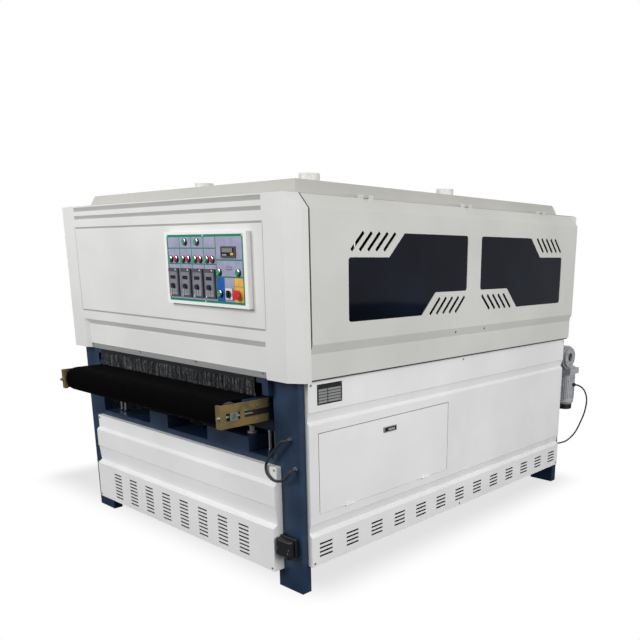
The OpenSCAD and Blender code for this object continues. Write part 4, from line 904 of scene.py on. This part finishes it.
def gear_bolts(bm):
    """Hexagon bolts in a ring on the gearbox's face."""
    bolts, ring_r = 6, 0.050
    for k in range(bolts):
        angle = 2 * math.pi * (k + 0.5) / bolts
        turned(bm, [(0.0, 0.0045), (0.0044, 0.0040), (0.0052, 0.0)],
               (gear_face - 0.0005, gear_y + ring_r * math.cos(angle),
                gear_z + ring_r * math.sin(angle)), "X", 6)


piece("motor_fins", motor_fins, motor_alloy, "bed")
piece("motor_fittings", motor_fittings, black_plastic, "bed")
piece("gear_bolts", gear_bolts, screw_steel, "bed")


# Screws, blocks of painted shade between the fork arms, latch rim

def strip_heads(bm):
    """Countersunk screws of the aluminium strips."""
    for face, way in ((-1.1650, -1), (1.1540, 1)):
        for x in (-0.731, -0.2437, 0.2437, 0.731):
            turned(bm, [(0.0, way * 0.0012), (0.0030, way * 0.0011), (0.0050, 0.0)],
                   (x, face, 0.972), steps=14)


def fork_gap_shade_blocks(bm):
    """Black blocks between the arms of the tension forks: painted shade, dark where the gap lies
    in shadow.
    """
    for side in (-1, 1):
        low, high = across(side, 0.6895, 0.6925)
        block(bm, (low, -1.300, 0.788), (high, -1.122, 0.826), 0.001)


def latch_frame(bm):
    """Raised rim round the latch's black face, and the bar across it."""
    back, rim, bar, wide, end, lap = 0.9280, 0.9305, 0.9320, 0.0035, 0.0045, 0.0030
    (_, left, low), (_, right_, high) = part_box("door_latch")
    for y, z, y_end, z_end, front in (
            (left, low, right_, low + wide, rim), (left, high - wide, right_, high, rim),
            (left, low + lap, left + end, high - lap, rim),
            (right_ - end, low + lap, right_, high - lap, rim),
            (left + 0.0270, low + 0.0075, right_ - 0.0170, high - 0.0095, bar)):
        block(bm, (back, y, z), (front, y_end, z_end), 0.0006)


piece("strip_heads", strip_heads, black_plastic, "frame")
piece("fork_gap_shade_blocks", fork_gap_shade_blocks, black_plastic, "bed")
piece("latch_frame", latch_frame, grey_plastic, "latch")


# Seals, tray, felt

def hood_seal(bm, side):
    """Rubber lip under the skirt of a hood, where it meets the panel below."""
    low, high = across(side, 0.934, 0.9445)
    block(bm, (low, -1.090, 0.9495), (high, 1.074, 0.9580), 0.001)


def dust_tray(bm):
    """Tray between the legs, which catches the dust that falls off the belt."""
    half, front, rear, floor_z, rim_z, thick = 0.715, -1.090, 1.080, 0.298, 0.330, 0.003
    block(bm, (-half, front, floor_z - 0.002), (half, rear, floor_z + 0.001))
    for y in (front, rear - thick):
        block(bm, (-half, y, floor_z), (half, y + thick, rim_z), 0.001)
    for x in (-half, half - thick):
        block(bm, (x, front + 0.002, floor_z), (x + thick, rear - 0.002, rim_z), 0.001)


def vent_shade_liners(bm):
    """Black felt behind the louvres of the lower panels: painted shade, a dark sheet for the shade
    inside the machine.
    """
    soft, front_half = 0.0004, 0.768
    for side in (-1, 1):
        low, high = across(side, 0.9012, 0.9026)
        block(bm, (low, -1.070, 0.130), (high, 1.060, 0.335), soft)
    block(bm, (-front_half, -1.1775, 0.096), (front_half, -1.1762, 0.288), soft)


piece("hood_seal_right", lambda bm: hood_seal(bm, 1), edge_rubber, "hood_right")
piece("hood_seal_left", lambda bm: hood_seal(bm, -1), edge_rubber, "hood_left")
piece("dust_tray", dust_tray, navy, "frame")
piece("vent_shade_liners", vent_shade_liners, shade_felt, "frame")


# Electrical cabinet

back_x, cabinet_front, cabinet_rear = 0.749, -1.000, -0.165
rail_zs = (0.418, 0.528, 0.640)


def back_plate(bm):
    """The mounting plate behind the door, with its three rails."""
    rail_x, rail_half = 0.7565, 0.0175
    block(bm, (0.746, -1.015, 0.345), (back_x, -0.150, 0.715), 0.001)
    for z in rail_zs:
        block(bm, (back_x, cabinet_front, z - rail_half),
              (rail_x, cabinet_rear, z + rail_half), 0.001)


def wire_ducts(bm):
    """Wire ducts between the rails and down both ends of them."""
    deep_x, wide = 0.797, 0.022
    for z in (0.352, 0.463, 0.575, 0.688):
        block(bm, (back_x, cabinet_front, z), (deep_x, cabinet_rear, z + wide), 0.0015)
    for y in (-1.010, -0.177):
        block(bm, (back_x, y, 0.350), (deep_x, y + wide, 0.712), 0.0015)


def contactors(bm):
    """Rows of contactors and breakers on their rails, each with its pale front."""
    tall, pale, gap = 0.032, 0.014, 0.006  # half heights of body and front, gap between bodies
    for z, first, count, width in zip(rail_zs, (-0.960, -0.970, -0.960), (14, 9, 14),
                                      (0.052, 0.084, 0.052)):
        for y in (first + k * width for k in range(count)):
            block(bm, (0.757, y, z - tall), (0.815, y + width - gap, z + tall), 0.002)
            block(bm, (0.8145, y + gap, z - pale), (0.824, y + width - 2 * gap, z + pale),
                  0.002, 1)


piece("back_plate", back_plate, zinc_sheet, "frame")
piece("wire_ducts", wire_ducts, grey_plastic, "frame")
piece("contactors", contactors, [drive_plastic, white_plastic], "frame")


# Floor

# The floor's painted shadow: a box round (-0.35, 0.06), darker whatever the light, which fades out
# over 0.3 m; even there the camera sees the floor as partly white
to_painted_shadow, painted_shadow_half, fade = (0.35, -0.06, 0.0), (1.17, 1.02, 0.0), 0.30
floor_half, white_in_painted_shadow = 14, 0.74

floor_paint, tree, place = blank_material("pale studio floor")
fine = add(tree, "ShaderNodeTexNoise", {"Vector": place, "Scale": 1000 / 500, "Detail": 2.0})
tone = add(tree, "ShaderNodeValToRGB", {"Fac": fine}, [(0.2, "#4c4c4c"), (0.8, "#545454")])
paint = add(tree, "ShaderNodeBsdfPrincipled", {"Base Color": tone, "Roughness": 0.9})
off = add(tree, "ShaderNodeVectorMath", {0: place, 1: to_painted_shadow}, operation="ADD")
off = add(tree, "ShaderNodeVectorMath", {0: off}, operation="ABSOLUTE")
off = add(tree, "ShaderNodeVectorMath", {0: off, 1: painted_shadow_half}, operation="SUBTRACT")
off = add(tree, "ShaderNodeVectorMath", {0: off, 1: (0.0, 0.0, 0.0)}, operation="MAXIMUM")
off = add(tree, "ShaderNodeVectorMath", {0: off}, operation="LENGTH").outputs["Value"]
# How white the camera sees the floor: less inside the box of painted shadow
clear = add(tree, "ShaderNodeMapRange", {"Value": off, "From Max": fade, "To Min": white_in_painted_shadow,
                                         "To Max": 1.0}, interpolation_type="SMOOTHSTEP")
# The camera sees it white a step away from the machine; other rays see its paint
white = add(tree, "ShaderNodeEmission", {"Color": (1, 1, 1, 1), "Strength": 1.0})
ray = add(tree, "ShaderNodeLightPath").outputs
mix = add(tree, "ShaderNodeMixShader", {0: clear, 1: paint, 2: white})
seen = add(tree, "ShaderNodeMixShader", {0: ray["Is Camera Ray"], 1: paint, 2: mix})
add(tree, "ShaderNodeOutputMaterial", {"Surface": seen})

mesh = bpy.data.meshes.new("floor")
mesh.from_pydata([(x * floor_half, y * floor_half, 0) for x, y in ((-1, -1), (1, -1), (1, 1),
                                                                 (-1, 1))], [], [(0, 1, 2, 3)])
mesh.materials.append(floor_paint)
floor = show("floor", mesh)


# Light

world = bpy.data.worlds.new("studio")
bpy.context.scene.world = world
world.use_nodes = True
tree = world.node_tree
tree.nodes.clear()
# The camera and the panes see it white, and it lights the object softly
ray = add(tree, "ShaderNodeLightPath").outputs
either = add(tree, "ShaderNodeMath",
             {0: ray["Is Camera Ray"], 1: ray["Is Transmission Ray"]}, operation="MAXIMUM")
soft = add(tree, "ShaderNodeBackground", {"Color": (1, 1, 1, 1), "Strength": 0.34})
white = add(tree, "ShaderNodeBackground", {"Color": (1, 1, 1, 1), "Strength": 1.0})
mix = add(tree, "ShaderNodeMixShader", {0: either, 1: soft, 2: white})
add(tree, "ShaderNodeOutputWorld", {"Surface": mix})


def soft_box(name, place, aim, size, power):
    """A rectangular light at a place, turned to what it lights, its power in watts."""
    light = bpy.data.lights.new(name, "AREA")
    light.shape = "RECTANGLE"
    light.size, light.size_y = size
    light.energy = power
    towards = (Vector(aim) - Vector(place)).to_track_quat("-Z", "Y").to_matrix().to_4x4()
    show(name, light).matrix_world = Matrix.Translation(place) @ towards


soft_box("front light", (-1.2, -6.0, 3.6), (0, -0.6, 1.0), (4.0, 3.0), 270)
soft_box("right light", (6.4, -0.5, 2.6), (0.5, 0.1, 1.0), (4.0, 3.0), 240)
soft_box("rear light", (-4.6, 5.6, 2.8), (0, 0.4, 1.0), (4.0, 3.0), 230)
soft_box("top light", (0.0, 0.0, 6.0), (0, 0, 1.0), (4.0, 4.0), 14)

bpy.context.scene.view_settings.view_transform = "Standard"
